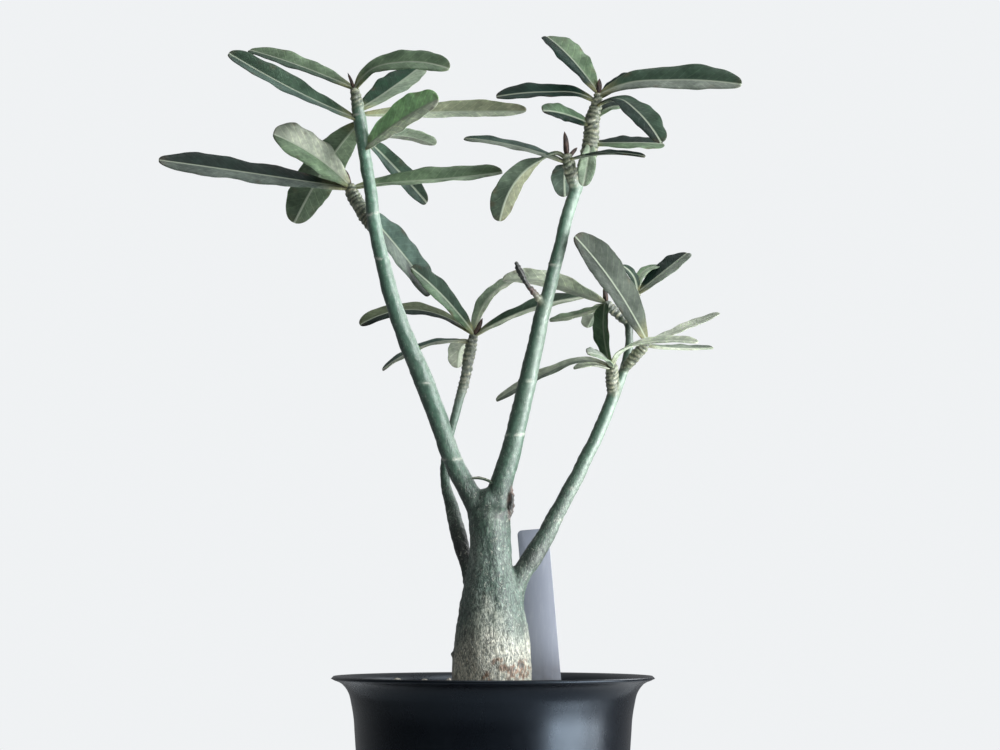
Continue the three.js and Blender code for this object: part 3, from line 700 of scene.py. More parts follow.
# Relief and colour of the trunk: low ribs as a sine of the turn, which drifts round with height and
# fades towards the fork, long fine grain, and the knot as a bell of the distance from its middle
def trunkDetail(points, turn):
    s, height = stemStyle, points[:, 2]
    ribs = s["ribHeight"] * np.sin(s["ribs"] * turn + 0.05 * height) * smooth(205, 180, height)
    relief = ribs + 0.12 * waves(points * [1, 1, 0.25], 2.2, 23) + s["knotHeight"] * knotAt(points, 2)
    return relief, trunkTone(points)


# The bare side twig: rings as a cosine of the run; reddish, then dark towards its dry end
def twigDetail(points, run):
    s, share = stemStyle, run / run.max()
    tone = toward(s["tip"], s["twig"], smooth(0.15, 0.4, share))
    tone = toward(tone, s["dark"], smooth(0.35, 0.55, share + 0.12 * waves(points, 2.4, 26)))
    return 0.16 * np.cos(run * 3.2) + 0.14 * waves(points, 2, 27), tone


# The dry scar by the fork: brown flakes over dark
def scarDetail(points):
    split = smooth(-0.5, 0.3, waves(points * [1, 1, 0.6], 3.2, 24))
    return 0.3 * waves(points, 1.8, 25), toward(stemStyle["dark"], stemStyle["scar"], split)


# Skin of the trunk and branches: a voxel net over the joined tubes, each point moved onto the
# surface where -w log(sum of exp(-height / w)) is zero, then lifted by the bark's relief
def makeStems():
    lines = {"trunk": prepared(trunkLine)}
    for name, limb in limbs.items():
        lines[name] = prepared(limb["line"], limb["cut"])
    lines["sideTwig"], lines["forkScar"] = prepared(sideTwig), prepared(forkScar)
    piece = makePiece("trunk_and_branches_skin", [tube(line) for line in lines.values()], [])
    net = piece.modifiers.new("net", "REMESH")
    net.mode, net.voxel_size, net.use_smooth_shade = "VOXEL", stemStyle["voxel"] * metre, True
    settle(piece)
    mesh = piece.data
    flat = np.zeros(len(mesh.vertices) * 3, np.float32)
    mesh.vertices.foreach_get("co", flat)
    points = flat.reshape(-1, 3).astype(float) / metre
    w = stemStyle["filletSize"]
    for _ in range(3):
        found = {name: nearest(line, points) for name, line in lines.items()}
        heights = np.stack([row[0] for row in found.values()])
        least = heights.min(0)
        pull = np.exp(-(heights - least) / w)
        share = pull / pull.sum(0)
        outward = sum(s[:, None] * row[1] for s, row in zip(share, found.values()))
        points -= ((least - w * np.log(pull.sum(0)))[:, None]) * outward
    outward = unit(outward)
    tone = np.zeros((len(points), 3))
    lift, rough = swellings(points), np.zeros(len(points))
    for part, (name, (_, _, run, turn)) in zip(share, found.items()):
        if name == "trunk":
            relief, colour = trunkDetail(points, turn)
        elif name == "sideTwig":
            relief, colour = twigDetail(points, run)
        elif name == "forkScar":
            relief, colour = scarDetail(points)
        else:
            relief, colour, bare = barkDetail(limbs[name], run, turn, points, outward[:, 0])
            colour = colour * (1 - stemStyle["lowLoss"] * smooth(240, 205, points[:, 2])[:, None])
            rough += part * bare
        tone += part[:, None] * colour
        lift += part * relief
    points += outward * lift[:, None]
    netted = np.maximum(0.2 + 0.8 * smooth(262, 195, points[:, 2]), 0.5 * rough)
    speckled = 0.2 + 0.35 * smooth(250, 150, points[:, 2])
    mesh.vertices.foreach_set("co", (points * metre).astype(np.float32).ravel())
    giveValues(mesh, "tone", toneRows(tone))
    giveValues(mesh, "skin", np.stack([netted, speckled, 0 * rough], 1))
    mesh.polygons.foreach_set("use_smooth", np.ones(len(mesh.polygons), bool))
    mesh.update()
    mesh.materials.append(bark)
    return piece


# Round tube along a prepared line, from one sample to the next
def tube(line, sides=20):
    out = aroundLine(roundTurn(sides), line["side"], line["across"])
    return ringSkin(line["centre"][:, None] + out * line["radius"][:, None, None])


# Tones of the leaves, named roughly from dark to pale; they carry painted light and shade as well as the
# leaves' own colour
leafTones = {
    "night": shade(24, 42, 36), "dusk": shade(31, 53, 45), "pine": shade(20, 60, 38),
    "deep": shade(46, 60, 52), "dim": shade(54, 72, 61), "stone": shade(66, 73, 67),
    "slate": shade(82, 90, 82), "ash": shade(93, 104, 97), "dark": shade(64, 84, 70),
    "blue": shade(76, 96, 88), "green": shade(86, 108, 86), "fern": shade(112, 134, 108),
    "fresh": shade(176, 218, 166), "grey": shade(126, 136, 126), "moss": shade(104, 116, 88),
    "olive": shade(146, 152, 126), "light": shade(154, 172, 150), "pale": shade(184, 192, 176),
    "cream": shade(212, 222, 202), "brown": shade(84, 78, 66),
}
# Leaves: distance of the base below the shoot's end, width, way the upper face looks, fold in
# degrees, the tones, with painted light and shade in them, of the half on the side of way x face
# and of the other half, then the midrib's middle points and its tip
leaves = {
    "left": [
        [16, 17, [0, -6, 8], 16, "dark", "blue", [-93.5, -24, 400], [-121.5, -28, 415.5]],
        [1.2, 15, [0, -5, 9], 14, "fern", "dark", [-88.5, -6, 412], [-114, 6, 421.5]],
        [1.5, 14.5, [0, -7.5, 6.5], 14, "fern", "fern", [-56.5, -21, 408.5], [-41.5, -27, 411.5],
         [-20, -34, 407.5]],
        [11.3, 17, [-2, -8, 6], 12, "light", "pine", [-48.5, 1, 402], [-34, 20, 415.5]],
        [29.4, 19.5, [-5, -8, 5], 17, "cream", "fresh", [-44, -28, 383.5], [-24.5, -40, 393]],
        [12.9, 14, [0, 5, 9], 8, "olive", "cream", [-24.5, -4, 392], [15.5, 8, 393.5]],
        [26.2, 11, [0, 5, 9], 8, "light", "pale", [-42.5, 12, 382.5], [-27.5, 30, 380]],
        [23.2, 11.5, [3, -9, 3], 14, "blue", "dark", [-46, 12, 367], [-31.5, 28, 352]],
        [16, 20, [-2, 8, 4], 8, "fern", "green", [-77.5, 10, 369.5], [-94, 26, 342.5]],
    ],
    "leftSide": [
        [2.7, 21, [0, -6, 8], 7, "night", "ash", [-111, -14, 361.5], [-153.5, -25, 366.5]],
        [1.9, 24, [4, -7, 6], 11, "pale", "fern", [-83, -8, 370.5], [-101.5, -16, 379.5]],
        [2.4, 18, [0, -5, 8.5], 17, "light", "fern", [-45.5, 1.5, 359], [-20, 3.3, 361], [4.5, 4, 364]],
        [10.9, 20, [5, -8, 5], 10, "ash", "blue", [-43.5, 16, 328], [-29.5, 32, 310]],
    ],
    "right": [
        [0.8, 18.5, [5.3, -7, 4.3], 13, "fern", "night", [38.5, -3, 414], [25, 7, 428]],
        [5, 13.5, [0, -6, 8], 13, "dusk", "dusk", [39.5, -6, 399.5], [25.5, -8, 400],
         [1.5, -10, 397.5]],
        [16.1, 11, [1, -8, 5], 9, "green", "night", [35, -14, 388.5], [23, -27, 389]],
        [2.2, 19, [0, -7, 7], 13, "grey", "dark", [60, -8, 403.5], [82.5, -13, 405], [114.5, -20, 402]],
        [3.5, 9, [0, -6, 7], 10, "night", "night", [56.5, -3, 403.5], [67.5, 2, 409.5]],
        [7, 17, [3, -6, 7], 8, "night", "dark", [57.5, -15, 396], [66, -26, 389], [76.5, -36, 373.5]],
        [14.1, 9, [0, -5, 9], 10, "light", "night", [54, -2, 393.5], [65, 4, 393.5]],
        [25, 15.5, [0, -5, 9], 4, "fern", "night", [63.5, -3, 377], [79.5, 2, 377]],
        [23.5, 8, [2, -8, 5], 10, "light", "light", [43.5, -16, 365.5], [41.5, -18, 355.5]],
    ],
    "rightSide": [
        [5.1, 12, [0, -4, 9], 7, "blue", "grey", [10.5, -12, 374.5], [-13.5, -8, 378.5]],
        [4.2, 14, [-3, 7, 5], 16, "olive", "dark", [30.5, -13.5, 371], [20.5, -12.5, 367.5],
         [3, -4, 340.5]],
        [6.1, 12, [-3, 8, 5], 12, "blue", "blue", [33.5, -2, 366], [33.5, 12, 353.5]],
        [3.4, 9, [0, -3, 9], 10, "deep", "night", [52, -28.5, 369.5], [69.5, -36, 367]],
    ],
    "rear": [
        [0.6, 14, [5, -7, 5], 12, "dim", "green", [-24.2, 24, 307.9], [-38.5, 14, 320]],
        [0.6, 16.5, [0, -4, 9], 8, "moss", "night", [-37, 32, 301.5], [-62.5, 26, 294]],
        [4.6, 12.5, [0, -3, 9], 5, "blue", "pale", [-24, 36, 287], [-39.5, 38, 282], [-52.5, 40, 273.5]],
        [4, 11, [-3, 7, 6], 12, "pale", "pale", [-14.5, 44, 286.5], [-17, 54, 275.5]],
        [0.6, 10.5, [-3, -5, 8], 14, "cream", "light", [-2, 38, 308], [11.5, 40, 317]],
        [1.5, 14, [0, -5, 9], 12, "cream", "dark", [16, 31, 301.5], [43.5, 28, 307.5]],
    ],
    "low": [
        [2.3, 13.5, [-4, -6, 5.5], 12, "grey", "night", [82, 30, 320.5], [92.5, 38, 329]],
        [0.5, 6, [0, -4, 9], 10, "light", "fern", [70, 28, 318], [79.5, 34, 322.5]],
        [0.5, 6, [0, -7, 7], 10, "deep", "deep", [66, 23, 316.5], [60.5, 20, 321.5]],
    ],
    "lowLeft": [
        [3, 9.5, [0, -8, 5], 10, "grey", "light", [51, -6, 277], [43.5, -20, 278]],
        [3, 12.5, [0, -4, 9], 7, "pale", "grey", [42, 10, 276.5], [24.5, 14, 270.5], [1.5, 18, 258]],
        [4.5, 6, [0, -4, 9], 10, "cream", "pale", [46, 2, 274], [37.5, -2, 272]],
        [2, 13.5, [-8, -5, 3], 18, "green", "green", [52, 6, 288.5], [52.5, 8, 303]],
        [3, 9, [0, -5, 9], 10, "cream", "cream", [60, -3, 280.5], [74.5, -15, 284], [94, -24, 283]],
    ],
    "lowRight": [
        [1.2, 23, [5, -7, 5], 14, "slate", "stone", [56, -6, 310.5], [37.5, -14, 332.5]],
        [0.9, 8.5, [0, -3, 9], 10, "pale", "pale", [88.5, 14, 291.5], [106.5, 22, 299.5]],
        [3, 9.5, [0, -3, 9], 10, "cream", "grey", [86, 8, 282], [103, 12, 282.5]],
    ],
    "lowTwig": [
        [1.5, 14, [0, 5, 9], 10, "pale", "cream", [40.5, 15, 309], [25.5, 12, 314], [4.5, 6, 314.5]],
        [2.4, 9, [0, -4, 9], 10, "light", "cream", [39.5, 14, 298], [26.5, 10, 295]],
        [2.3, 10, [-3, 6, 6], 12, "light", "pale", [49, 26, 301], [44.5, 34, 293.5]],
    ],
}
bareStalks = {"rightSide": {1: 0.28}}    # share of a leaf's length, by its place in its list
# Dry buds: distance of the base below the shoot's end, radius and tip
buds = {
    "left": [[2, 0.9, [-67, -18, 408]]],
    "leftSide": [[1.5, 1.3, [-69, 3, 365.5]]],
    "right": [[1.5, 1.5, [49.5, -5, 407]]],
    "rightSide": [[1, 1.5, [33, -16, 381]], [2, 1.1, [39, -12, 374]]],
    "rear": [[2, 1.4, [-5, 34, 298]], [2, 1.1, [-12, 35, 296]]],
    "lowTwig": [[1, 1.4, [52, 17, 311.5]]],
}
leafStyle = {
    "rings": 54, "around": 40,      # rows of points along a leaf and round its section
    "petioleHalf": 1.1, "petioleThick": 1.9, "thickness": 0.85,
    "ribRidge": 0.45, "groove": 0.16, "edgeRoll": 0.35, "ripple": 0.05, "ragged": 0.026,
    "footPower": 0.75, "tipPower": 0.42,        # how bluntly a blade starts and ends
    "petiole": shade(150, 150, 112), "petioleShare": 0.7,
    "under": shade(160, 166, 148), "underShare": 0.15,
    "stain": shade(92, 72, 56), "spotShare": 0.5, "tipStain": 0.3,
    "cloudShare": 0.1, "edgeShade": 0.3, "tipShade": 0.26,
}


# Half width of a leaf at t along its midrib: u^foot (1 - u)^tip beyond its bare stalk, where u runs
# from 0 at the stalk's end to 1 at the tip; widest near two thirds, and never under the stalk's own
def halfWidth(t, width, stalkShare):
    foot, tip = leafStyle["footPower"], leafStyle["tipPower"]
    peak = (foot / (foot + tip)) ** foot * (tip / (foot + tip)) ** tip
    u = np.clip(t - stalkShare, 0, 1) / (1 - stalkShare)
    blade = 0.5 * width * u**foot * (1 - u) ** tip / peak
    stalk = min(leafStyle["petioleHalf"], width / 4) * smooth(1.0, 0.9, t)
    return (blade**4 + stalk**4) ** 0.25


# Colour of a leaf, x out from its midrib and v of its half width: a tone on each half that holds
# painted light and shade, a paler underside, soft clouds, dry spots towards the edges, a dark rim on
# the upper face that is partly painted shade where the edge rolls down, a dark tip, and the
# petiole's tone
def leafTone(places, x, v, t, upper, lower, firstTone, secondTone, seed):
    s, flat = leafStyle, places.reshape(-1, 3)
    # each half's tone holds the painted light and shade of that half as well as its own colour
    tone = toward(leafTones[secondTone], leafTones[firstTone], smooth(-0.5, 0.5, x))
    tone = toward(tone, s["under"], s["underShare"] * lower)
    tone = tone * (1 + s["cloudShare"] * waves(flat, 16, seed + 50).reshape(x.shape)[..., None])
    spots = smooth(0.8, 1.7, waves(flat, 6, seed + 80)).reshape(x.shape) * smooth(0.3, 1, np.abs(v))
    tone = toward(tone, s["stain"], s["spotShare"] * spots + s["tipStain"] * smooth(0.93, 1, t))
    # darker rim on the upper face: partly painted shade where the edge rolls down, partly the leaf's own
    # dark edge
    tone = tone * (1 - s["edgeShade"] * smooth(0.82, 1, np.abs(v)) * upper)[..., None]
    tone = tone * (1.06 - s["tipShade"] * smooth(0.62, 0.97, t))[..., None]
    return toward(tone, s["petiole"], s["petioleShare"] * smooth(0.2, 0.04, t))


# Leaf blade as a flattened tube: at t along the midrib and angle a round the section, the point
# lies v = |cos a|^1.5 half widths out, on the upper face where sin a < 0. The blade folds up
# in a soft valley, rolls down at its edges, ripples, and has a ridge under its midrib and a groove
# over it
def blade(points, width, face, fold, firstTone, secondTone, seed, stalkShare=0.0):
    s = leafStyle
    t = 1 - (1 - np.linspace(0, 1, s["rings"] + 1)[:-1]) ** 1.5
    t[-1] = (t[-2] + 3) / 4
    t = t[:, None]
    centre = alongLine(points, t[:, 0])
    way = unit(np.gradient(centre, t[:, 0], axis=0))
    face = np.asarray(face, float)
    normal = unit(face - (way @ face)[:, None] * way)
    side = np.cross(way, normal)
    angle = roundTurn(s["around"])
    v = (np.sign(np.cos(angle)) * np.abs(np.cos(angle)) ** 1.5)[None]
    upper = (np.sin(angle) < -1e-6)[None] * 1.0
    lower = (np.sin(angle) > 1e-6)[None] * 1.0
    half = halfWidth(t, width, stalkShare)
    x, soft, opened = v * half, 0.1 * half, smooth(0.02, 0.25, t)
    phase = np.random.default_rng(seed).uniform(0, 2 * math.pi, 4)
    bend = math.radians(fold)
    valley = (np.sqrt(x**2 + soft**2) - soft) / (math.sqrt(1.01) - 0.1)
    lift = math.sin(bend) * ((1 + s["edgeRoll"]) * valley - s["edgeRoll"] * half * v**4)
    swing = np.sin(2 * math.pi * (2.3 * t + 0.1 * np.sign(v)) + phase[0] + (v > 0) * phase[1])
    swing = swing + 0.6 * np.sin(2 * math.pi * 4.7 * t + phase[2] + (v > 0) * phase[3])
    lift = lift + s["ripple"] * half * v**2 * swing * opened
    ragged = waves(centre, 5.5, seed + 20)[:, None] + 0.5 * np.sin(31 * t + phase[0] + 2 * np.sign(v))
    out = x * (math.cos(bend) + (1 - math.cos(bend)) * (1 - opened))
    out = out * (1 + s["ragged"] * (swing * 0.5 + 0.7 * ragged) * np.abs(v) * opened)
    thick = s["thickness"] + (min(s["petioleThick"], width / 5) - s["thickness"]) * (1 - t) ** 7
    thick = thick * np.minimum(1, 0.35 + half / 3.5)
    body = 0.5 * thick * np.sqrt(np.clip(1 - np.abs(v) ** 4, 0, 1)) * (upper - lower)
    ridge = s["ribRidge"] * (1.1 - t) * bell(x, 0.85) * opened
    groove = s["groove"] * (1.05 - t) * bell(x, 0.5) * opened
    level = lift + body - lower * ridge - upper * groove
    rings = centre[:, None] + out[..., None] * side[:, None] + level[..., None] * normal[:, None]
    tone = leafTone(rings, x, v, t, upper, lower, firstTone, secondTone, seed)
    shares = np.stack([x, t * lineLength(points) + 0 * v, upper + 0 * t], -1)
    return ringSkin(rings, 1, tone=toneRows(tone), blade=shares)


# Dry bud: spindle from the shoot to its tip. At u along it, its radius is multiplied by
# 0.6 + 0.4 sin(pi u / 1.2) - 0.75 u^3, and by three twisted scales as a wave cos(3 turn + 4 u)
def bud(base, tip, radius, seed):
    base, tip = np.asarray(base, float), np.asarray(tip, float)
    u, turn = np.linspace(0, 1, 15)[:, None], roundTurn(15)[None]
    way = unit(tip - base)
    side = unit(np.cross(way, [0.2, 1, 0.1]))
    across = np.cross(way, side)
    shape = 0.6 + 0.4 * np.sin(math.pi * np.minimum(u / 1.2, 1)) - 0.75 * u**3
    r = radius * shape * (1 + 0.16 * np.cos(3 * turn + 4 * u + seed)) * (1 + 0.06 * np.sin(9 * u))
    ring = (np.cos(turn)[..., None] * side + np.sin(turn)[..., None] * across) * r[..., None]
    return ringSkin((base + (tip - base) * u)[:, None] + ring, 2)


# End of a branch above its cut: the branch's own radius and bark relief, a round tip as
# sqrt(1 - d^2) over the last millimetre, and its first ring drawn in under the skin of the branch
def shootStem(limb, sides=36):
    whole = lineLength(limb["line"])
    start = whole - limb["cut"] - 0.5
    runs = np.r_[np.linspace(start, whole - 1, int(limb["cut"] / 0.4)), whole - 0.6, whole - 0.25, whole]
    rows = alongLine(limb["line"], runs / whole)
    turn, grid = roundTurn(sides), (len(runs), sides)
    out = aroundLine(turn, *crosswise(unit(np.gradient(rows[:, :3], runs / whole, axis=0))))
    flat = (rows[:, None, :3] + out * rows[:, None, 3:4]).reshape(-1, 3)
    relief, tone, rough = barkDetail(limb, np.repeat(runs, sides), np.tile(turn, len(runs)), flat,
                                     out[..., 0].ravel())
    grow = (relief + swellings(flat)).reshape(grid)
    dome = np.sqrt(np.clip(1 - ((runs - whole + 1) / 1.02).clip(0, 1) ** 2, 0, 1))[:, None]
    sink = np.where(runs < start + 0.3, -0.25, 0.0)[:, None]
    rings = rows[:, None, :3] + out * ((rows[:, 3:4] + grow + sink) * dome)[..., None]
    skin = np.stack([0.5 * rough, 0.3 + 0 * rough, 0 * rough], 1)
    return ringSkin(rings, 0, tone=toneRows(tone).reshape(*grid, 4), skin=skin.reshape(*grid, 3))


shootNodes = {
    "left": "left_top_shoot", "leftSide": "left_side_shoot", "right": "right_top_shoot",
    "rightSide": "right_side_shoot", "rear": "rear_shoot", "low": "low_top_shoot",
    "lowLeft": "low_left_shoot", "lowRight": "low_right_shoot", "lowTwig": "low_twig_shoot",
}


def makeShoot(name):
    limb = limbs[name]["line"]
    skins = [shootStem(limbs[name])]

    def below(drop):    # place on the branch this far below its end
        return alongLine(limb, [1 - drop / lineLength(limb)])[0, :3]

    for i, (drop, width, face, fold, first, second, *midrib) in enumerate(leaves[name]):
        seed = 100 * list(limbs).index(name) + i
        stalkShare = bareStalks.get(name, {}).get(i, 0)
        skins.append(blade([below(drop), *midrib], width, face, fold, first, second, seed, stalkShare))
    for i, (drop, radius, tip) in enumerate(buds.get(name, [])):
        skins.append(bud(below(drop), tip, radius, i))
    return makePiece(shootNodes[name] + "_leaves", skins, [bark, leafSkin, budSkin],
                     tone=4, skin=3, blade=3)


# The thin dry leaf that hangs between the two main branches
def makeTinyLeaf():
    skin = blade(tinyLeaf, 3.4, [0, -3, 9], 8, "brown", "deep", 7)
    return makePiece("tiny_dry_leaf", [skin], [bark, leafSkin, budSkin], tone=4, blade=3)


handOver(makeStems(), "bark", "trunk_and_branches")
handOver(makeTinyLeaf(), "leaves", "trunk_and_branches")
for shootName in limbs:
    handOver(makeShoot(shootName), "leaves", shootNodes[shootName])

# Pot: outer and inner wall as [radius, height], the underside's rings, holes and foot notches
potShape = {
    "underside": [
        [2, 0], [18, 0], [18.3, 0.4], [18.8, 2.4], [19.4, 2.6], [50.4, 2.6], [51, 2.4], [52.6, 0],
    ],
    "foot": [[56.2, 0], [56.8, 0.6]],
    "outerWall": [
        [56.84, 1.2], [63.4, 96.1], [63.9, 103.4], [64.4, 110.7], [65.4, 116.8], [66.9, 122.6],
        [70.4, 126.9], [73.4, 128.1], [74.6, 128.5], [75, 129.2], [74.6, 129.9], [73.8, 130],
    ],
    "innerWall": [
        [72.6, 129.7], [69.4, 128.4], [65.6, 124], [63.9, 117.2], [62.8, 110.8], [62.3, 103.4],
        [61.8, 96.1], [55.6, 6], [55, 4.7], [53.6, 4.2], [30, 4.2], [2, 4.2],
    ],
    "sides": 160, "holes": 8, "holeRadius": 4.5, "holeRing": 36, "holeTop": 9.0,
    "notchHalf": 3.6, "notchHeight": 1.5, "notchReach": (50, 60),
}


# A profile of [radius, height] turned about the pot's axis, left-handed rings for outward faces
def turned(profile, sides):
    turn, profile = -roundTurn(sides), np.asarray(profile, float)
    rings = np.stack([profile[:, :1] * np.cos(turn), profile[:, :1] * np.sin(turn),
                      profile[:, 1:] + 0 * turn], -1)
    return ringSkin(rings[::-1])


# A flat outline, (points, 2), as a tool that reaches from under the pot up to a height
def cutter(outline, top):
    return ringSkin(np.stack([np.c_[outline, np.full(len(outline), z)] for z in (-2.0, top)]))


def makePot():
    s = potShape
    outer = alongLine([[r, 0, z] for r, z in s["outerWall"]], np.linspace(0, 1, 70))[:, [0, 2]]
    inner = alongLine([[r, 0, z] for r, z in s["innerWall"][:8]], np.linspace(0, 1, 40))[:, [0, 2]]
    profile = [*s["underside"], *s["foot"], *outer.tolist(), *inner.tolist(), *s["innerWall"][8:]]
    piece = makePiece("pot_shell", [turned(profile, s["sides"])], [potMaterial()])
    turn = roundTurn(24)
    circle = s["holeRadius"] * np.stack([np.cos(turn), np.sin(turn)], 1)
    tools = []
    for about in 2 * math.pi * (np.arange(s["holes"]) + 0.5) / s["holes"]:
        out = np.array([math.cos(about), math.sin(about)])
        aside = np.array([-math.sin(about), math.cos(about)]) * s["notchHalf"]
        tools.append(cutter(out * s["holeRing"] + circle, s["holeTop"]))
        near, far = (out * radius for radius in s["notchReach"])
        notch = [near - aside, far - aside, far + aside, near + aside]
        tools.append(cutter(np.array(notch), s["notchHeight"]))
    tool = makePiece("cutter", tools, [])
    cut = piece.modifiers.new("holes", "BOOLEAN")
    cut.operation, cut.solver, cut.object = "DIFFERENCE", "EXACT", tool
    settle(piece)
    bpy.data.objects.remove(tool)
    return piece


handOver(makePot(), "pot", "pot")

# Potting mix: an uneven bed under loose grains of pumice, lava and baked clay
mixStyle = {
    "level": 124.4, "highest": 126.6, "wall": 64.2, "spacing": 3.5, "trunkRadius": 18.4, "seed": 4,
    "kinds": [shade(206, 200, 186), shade(150, 112, 78), shade(62, 46, 42), shade(96, 84, 70)],
    "shares": [0.24, 0.3, 0.28, 0.18],
    "bed": shade(58, 48, 40),
    "body": [
        [1.5, 4.5], [54.1, 4.5], [55.3, 5.3], [61.5, 96.1], [62, 103.4], [62.5, 110.8], [63.6, 117.2],
    ],
    "labelAt": (25, 26), "labelClear": (9.5, 1.2),      # no grain lies where the label stands
    "sizes": (1.2, 3.9), "stretch": (0.72, 1.12), "tints": (0.75, 1.15),
    "facets": 7, "facetReach": (0.55, 0.8),             # flat cuts on each grain
}
rimStones = [[-43.6, -30, 127.3, 3.5], [-31.2, -34, 127.2, 3.4], [-19.5, -40, 127.4, 2.7]]


# Bed height as on the solid's top: the sum of three crossing sine waves, which fades to nothing
# over the last 10 mm before a radius of 62
def bedHeight(x, y):
    edge = np.clip((62 - np.hypot(x, y)) / 10, 0, 1)
    return edge * (0.5 * np.sin(0.61 * x + 0.23 * y) + 0.4 * np.sin(0.57 * y - 0.31 * x + 1.3)
                   + 0.3 * np.sin(0.93 * x - 0.72 * y + 0.6))


# Grains: one small ball of 80 faces, for each grain stretched, cut flat by random planes, where
# n . p is held under a limit, and turned about the upright
def makeMix():
    s = mixStyle
    draw = np.random.default_rng(s["seed"])
    side = np.arange(-24, 25) * s["spacing"]
    gx, gy = np.meshgrid(side, side * 0.866)
    gx = gx + (np.arange(49) % 2)[:, None] * s["spacing"] / 2
    spots = np.stack([gx.ravel(), gy.ravel()], 1)
    spots = spots + draw.normal(0, 0.28 * s["spacing"], spots.shape)
    size = draw.gamma(9, 0.235, len(spots)).clip(*s["sizes"])
    inside = np.hypot(spots[:, 0], spots[:, 1]) < s["wall"] - 0.9 * size
    clear = np.hypot(spots[:, 0] + 0.5, spots[:, 1]) > s["trunkRadius"] + 0.7 * size
    aside, ahead = np.abs(spots - s["labelAt"]).T
    label = (aside < s["labelClear"][0]) & (ahead < s["labelClear"][1] + size)
    kept = inside & clear & ~label
    spots, size = spots[kept], size[kept]
    height = s["level"] + bedHeight(spots[:, 0], spots[:, 1]) + draw.uniform(-0.5, 0.9, len(size))
    height = np.minimum(height + 0.15 * size, s["highest"] - 0.95 * size)
    kind = draw.choice(4, len(size), p=s["shares"])
    rim = np.array(rimStones)
    centre, size = np.r_[np.c_[spots, height], rim[:, :3]], np.r_[size, rim[:, 3]]
    kind = np.r_[kind, np.zeros(len(rim), int)]
    bpy.ops.mesh.primitive_ico_sphere_add(subdivisions=2, radius=1)
    ball = bpy.context.active_object
    shape = np.array([v.co for v in ball.data.vertices])
    faces = np.array([p.vertices for p in ball.data.polygons])
    bpy.data.objects.remove(ball)
    count = len(size)
    grains = np.repeat(shape[None], count, 0) * draw.uniform(*s["stretch"], (count, 1, 3))
    for _ in range(s["facets"]):
        plane = unit(draw.normal(size=(count, 1, 3)))
        reach = (grains * plane).sum(-1, keepdims=True)
        grains = grains - np.maximum(reach - draw.uniform(*s["facetReach"], (count, 1, 1)), 0) * plane
    angle = draw.uniform(0, 2 * math.pi, count)[:, None]
    turnedX = grains[..., 0] * np.cos(angle) - grains[..., 1] * np.sin(angle)
    turnedY = grains[..., 0] * np.sin(angle) + grains[..., 1] * np.cos(angle)
    grains = np.stack([turnedX, turnedY, grains[..., 2]], -1) * size[:, None, None] + centre[:, None]
    tone = np.array(s["kinds"])[kind] * draw.uniform(*s["tints"], (count, 1))
    corners = (faces[None] + (np.arange(count) * len(shape))[:, None, None]).reshape(-1, 3)
    grit = {"points": grains.reshape(-1, 3), "quads": np.zeros((0, 4), int), "fans": corners,
            "material": 0, "tone": np.repeat(colour4(tone), len(shape), 0)}
    top = [[r, s["level"]] for r in np.linspace(64.6, 1.5, 40)]
    bed = turned([*s["body"], *top], 120)
    x, y, z = bed["points"].T
    relief = bedHeight(x, y) + 0.25 * waves(bed["points"], 3, 31)
    bed["points"][:, 2] = z + np.where(z > 120, relief - 0.3, 0)
    bed["tone"] = np.zeros((len(z), 4)) + opaque(s["bed"])
    return makePiece("potting_mix_grit", [bed, grit], [gritMaterial()], tone=4)


handOver(makeMix(), "potting_mix", "potting_mix")

# Label: bare strip with rounded top corners and a pointed foot, leaning to the left
labelShape = {
    "width": 14.6, "thickness": 0.8, "top": 198, "end": 76, "lean": 4.9, "foot": (29, 26), "corner": 2.2,
    "soften": 0.16, "pointHalf": 2, "pointHigh": 14,
    # edge from one face to the other: how much of the softening, and the share of the thickness
    "edge": [(1, -0.5), (0.3, -0.42), (0, -0.3), (0, 0.3), (0.3, 0.42), (1, 0.5)],
}


def makeLabel():
    s = labelShape
    lean = math.radians(s["lean"])
    high = (s["top"] - s["end"]) / math.cos(lean)
    half, corner = s["width"] / 2, s["corner"]
    arc = np.linspace(0, math.pi / 2, 9)
    right = np.c_[half - corner + corner * np.cos(arc), high - corner + corner * np.sin(arc)]
    left = np.c_[-right[::-1, 0], right[::-1, 1]]
    tip, shoulder = s["pointHalf"], s["pointHigh"]
    outline = np.concatenate([[[tip, 0], [half, shoulder]], right, left, [[-half, shoulder], [-tip, 0]]])
    middle = np.array([0, high / 2])
    up = np.array([-math.sin(lean), 0, math.cos(lean)])
    across = np.array([math.cos(lean), 0, math.sin(lean)])
    rings = []
    for inset, depth in s["edge"]:
        small = outline - np.sign(outline - middle) * s["soften"] * inset
        flat = np.array([*s["foot"], s["end"]]) + small[:, :1] * across + small[:, 1:] * up
        rings.append(flat + np.array([0, 1, 0]) * depth * s["thickness"])
    return makePiece("plant_label_strip", [ringSkin(np.array(rings)[::-1])], [labelMaterial()])


handOver(makeLabel(), "plant_label", "plant_label")
print("pieces made")

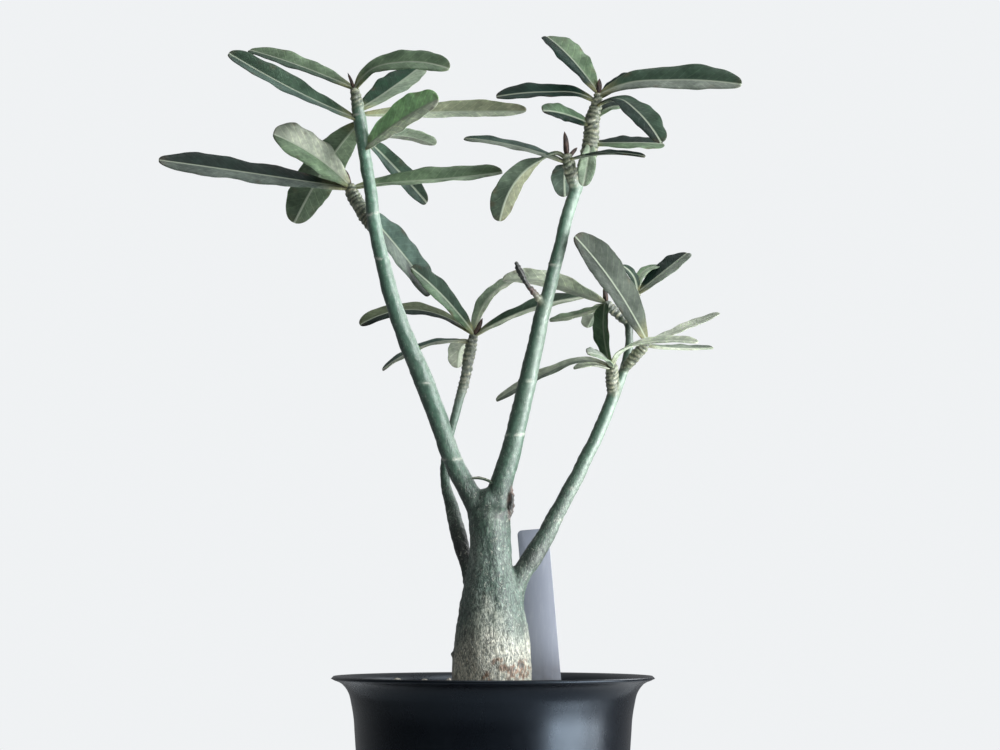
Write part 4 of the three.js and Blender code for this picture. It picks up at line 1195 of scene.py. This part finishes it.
# Floor, light and backdrop
studio = {
    "floorRadius": 0.4, "floorTones": [(0.5, 0.52, 0.53, 1), (0.56, 0.58, 0.6, 1)],
    "backdrop": (0.868, 0.886, 0.9),
    "roomLight": 0.2, "roomLeast": 0.1, "roomColour": (0.94, 0.97, 1, 1),
    "lampColour": (0.97, 0.985, 1),
    # where each lamp stands, its size, its power and what it is aimed at
    "lamps": {
        "window": ((1.2, -0.2, 0.5), (0.7, 0.8), 12.5, (0, 0, 0.27)),
        "windowFront": ((1.1, -1.1, 0.7), 0.8, 12.0, (0, 0, 0.27)),
        "windowBehind": ((0.9, 0.9, 1.0), 0.8, 8.0, (0, 0, 0.27)),
        "top": ((0.1, 0.25, 1.5), 0.9, 7.0, (0, 0, 0.27)),
        "frontTop": ((0, -1.3, 1.4), 0.8, 3.0, (0, 0, 0.27)),
        "lowCard": ((0.474, -0.16, 0.06), (0.46, 0.11), 1.45, (0, 0, 0.09)),
        "tableGlow": ((0.5, -0.3, 0.04), 0.35, 2.6, (0, 0, 0.33)),
    },
}


def floorMaterial():
    material, tree, shader = newMaterial("paleFloor")
    grain = eased(tree, noise(tree, objectPlace(tree), 14.0, 5.0), 0.3, 0.7)
    colour = mixed(tree, grain, *studio["floorTones"])
    fill(tree, shader, {"Base Color": colour, "Roughness": 0.8})
    return material


def makeFloor():
    turn = roundTurn(128)
    edge = np.stack([np.cos(turn), np.sin(turn), 0 * turn], 1) * studio["floorRadius"] / metre
    floor = makePiece("studio_floor", [ringSkin(np.stack([edge - [0, 0, 4], edge]))], [floorMaterial()])
    floor.data.shade_flat()


def makeLamp(name, place, size, power, target):
    data = bpy.data.lights.new(name, "AREA")
    data.energy, data.color = power, studio["lampColour"]
    if isinstance(size, tuple):
        data.shape, data.size, data.size_y = "RECTANGLE", size[0], size[1]
    else:
        data.shape, data.size = "DISK", size
    lamp = bpy.data.objects.new(name, data)
    lamp.location = place
    away = np.array(place) - np.array(target)
    lamp.rotation_euler = (math.acos(away[2] / np.linalg.norm(away)), 0,
                           math.atan2(away[1], away[0]) + math.pi / 2)
    lamp.visible_camera = False
    bpy.context.scene.collection.objects.link(lamp)


# Light from the room grows towards +Y and upwards; the camera itself sees the plain backdrop
def makeWorld():
    world = bpy.data.worlds.new("paleRoom")
    world.use_nodes = True
    tree = world.node_tree
    tree.nodes.clear()
    way = add(tree, "SeparateXYZ", {0: add(tree, "TexCoord").outputs["Generated"]})
    behind = eased(tree, way.outputs[1], -0.1, 0.7, 0.07, 1.0)
    above = eased(tree, way.outputs[2], -0.4, 0.5, 0.7, 1.0)
    glow = reckon(tree, "MULTIPLY_ADD", reckon(tree, "MULTIPLY", behind, above), studio["roomLight"],
                  studio["roomLeast"])
    room = add(tree, "Background", {"Color": studio["roomColour"], "Strength": glow})
    plain = add(tree, "Background", {"Color": opaque(studio["backdrop"]), "Strength": 1.0})
    seen = add(tree, "LightPath").outputs["Is Camera Ray"]
    both = add(tree, "MixShader", {0: seen, 1: room.outputs[0], 2: plain.outputs[0]})
    add(tree, "OutputWorld", {"Surface": both.outputs[0]})
    bpy.context.scene.world = world


makeFloor()
for lampName, settings in studio["lamps"].items():
    makeLamp(lampName, *settings)
makeWorld()
bpy.context.scene.view_settings.view_transform = "Standard"
print("stage set")
